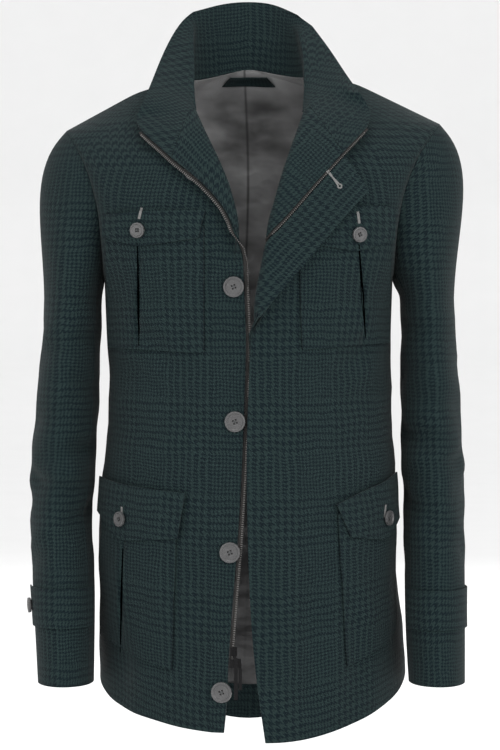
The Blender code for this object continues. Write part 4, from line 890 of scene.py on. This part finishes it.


# Builds one painted pleat shadow: a thin dark wedge that follows the cloth.
def pleat(name, x0, z0, x1, z1, widest, at):
    points, faces = [], []
    for t in np.linspace(0, 1, PLEAT_CELLS + 1):
        x, z = x0 + (x1 - x0) * t, z0 + (z1 - z0) * t
        half = 0.5 * widest * np.interp(t, (0, at, 1), (0.25, 1, 0.1))
        for edge in (-half, half):
            spot, out = on_cloth(x + edge, z)
            points += [spot + out * (PLEAT_LIFT + PLEAT_THICK), spot + out * PLEAT_LIFT]
    for k in range(PLEAT_CELLS):
        a, b = 4 * k, 4 * k + 4
        faces += [(a, a + 2, b + 2, b), (a + 1, b + 1, b + 3, a + 3)]
        faces += [(a, b, b + 1, a + 1), (a + 2, a + 3, b + 3, b + 2)]
    end = 4 * PLEAT_CELLS
    faces += [(0, 1, 3, 2), (end, end + 2, end + 3, end + 1)]
    show(name, points, faces, FOLD_SHADE)


for row in PLEAT_SHADOWS:
    pleat(*row)

# %% [markdown]
# Two crossed threads hold each button at its four holes.

# %%
EYE_OUT = 0.19  # from a button's middle to a hole, in shares of its radius
STRAND_OUT = 0.17  # how far the threads reach, in the same shares
HOLE_SUNK, THREAD_SUNK, THREAD_RISE = 0.0010, 0.0012, 0.0009  # below a button's top, and a thread's bow
for name, centre in buttons.items():
    p = np.array([v.co[:] for v in nodes[name].data.vertices])
    p = p - p.mean(0)
    _, ways = np.linalg.eigh(p.T @ p)
    out, flat, high = ways[:, 0], ways[:, 1], ways[:, 2]
    if out[1] > 0 if "cuff" not in name else out[0] * side_of(name) < 0:
        out = -out
    if name == "front_button_1":
        out = -out
    size = float(np.abs(p @ high).max())
    top = float((p @ out).max())
    points, alongs, outs = [], [], []
    middle = np.array(centre)
    for turn in (45, 135):
        way = math.cos(math.radians(turn)) * flat + math.sin(math.radians(turn)) * high
        for at in np.linspace(-STRAND_OUT, STRAND_OUT, 7):
            rise = top - THREAD_SUNK + THREAD_RISE * math.cos(at / STRAND_OUT * math.pi / 2)
            points.append(middle + way * at * size + out * rise)
            alongs.append(way)
            outs.append(out)
    strand = small_box(name + "_strand", (0.0009, 0.0007, 0.0006), 0.0002)
    corners = [math.radians(turn) for turn in (45, 135, 225, 315)]
    ways_in = [math.cos(a) * flat + math.sin(a) * high for a in corners]
    eyes = [middle + w * EYE_OUT * size + out * (top - HOLE_SUNK) for w in ways_in]
    # Painted shade: each hole is a near-black box sunk in the button, standing for the shade inside the hole.
    hole = small_box(name + "_hole", (0.0021, 0.0021, 0.0006), 0.00028)
    set_along(name + "_holes", eyes, [flat] * 4, [out] * 4, hole, HOLE_SHADE, 0.0)
    set_along(name + "_thread", points, alongs, outs, strand, DIM, 0.05)

# %% [markdown]
# ## Stage, light and camera

# %%
# radius and height of the floor's rings
BOWL = ((0.5, 0.0), (9.0, 0.0), (11.0, 0.35), (12.4, 1.4), (13.0, 3.0), (13.1, 4.6))
AROUND = 48


def floor():
    points, faces = [(0, 0, FLOOR)], []
    for radius, height in BOWL:
        for k in range(AROUND):
            turn = 2 * math.pi * k / AROUND
            points.append((radius * math.cos(turn), radius * math.sin(turn), FLOOR + height))
    for k in range(AROUND):
        after = (k + 1) % AROUND
        faces.append((0, 1 + k, 1 + after))
        for ring in range(len(BOWL) - 1):
            low, high = 1 + ring * AROUND, 1 + (ring + 1) * AROUND
            faces.append((low + k, high + k, high + after, low + after))
    mesh = bpy.data.meshes.new("floor")
    mesh.from_pydata(points, [], faces)
    mesh.shade_smooth()
    paper = Paint("pale paper", Roughness=0.9, Specular_IOR_Level=0.0)
    grain = paper.noise(paper.place(), 6.0, 2.0)
    mesh.materials.append(paper.finish(paper.mix(grain, (0.92, 0.92, 0.92, 1), (0.95, 0.95, 0.95, 1))))
    made = bpy.data.objects.new("floor", mesh)
    bpy.context.scene.collection.objects.link(made)


floor()

LAMPS = (  # name, place, size, power
    ("key", (1.6, -2.7, 0.5), 2.2, 44),
    ("fill", (-1.9, -2.4, 0.2), 2.4, 24),
    ("behind", (0.4, 2.8, 1.2), 2.0, 26),
    ("top", (0.0, -0.6, 2.0), 1.2, 14),
)
AIM = Vector((0, 0, -0.35))
for name, place, size, power in LAMPS:
    lamp = bpy.data.lights.new(name, "AREA")
    lamp.shape, lamp.size, lamp.energy = "DISK", size, power
    made = bpy.data.objects.new(name, lamp)
    made.location = place
    made.rotation_euler = (AIM - Vector(place)).to_track_quat("-Z", "Y").to_euler()
    bpy.context.scene.collection.objects.link(made)

world = bpy.data.worlds.new("studio")
world.use_nodes = True
world.node_tree.nodes["Background"].inputs["Color"].default_value = (1, 1, 1, 1)
world.node_tree.nodes["Background"].inputs["Strength"].default_value = 0.95
bpy.context.scene.world = world
bpy.context.scene.view_settings.view_transform = "Standard"

LENS_PIXELS, PHOTO_HIGH, HORIZON, EYE_HIGH, ASIDE = 2712, 750, 300, -0.257, 1.5
camera = bpy.data.cameras.new("camera")
camera.sensor_fit, camera.sensor_height = "VERTICAL", 36
camera.lens = LENS_PIXELS * camera.sensor_height / PHOTO_HIGH
camera.shift_x = ASIDE / PHOTO_HIGH
down = math.atan((PHOTO_HIGH / 2 - HORIZON) / LENS_PIXELS)
eye = bpy.data.objects.new("camera", camera)
eye.location = (0, -CAMERA_AWAY, EYE_HIGH)
eye.rotation_euler = (math.pi / 2 - down, 0, 0)
bpy.context.scene.collection.objects.link(eye)
bpy.context.scene.camera = eye
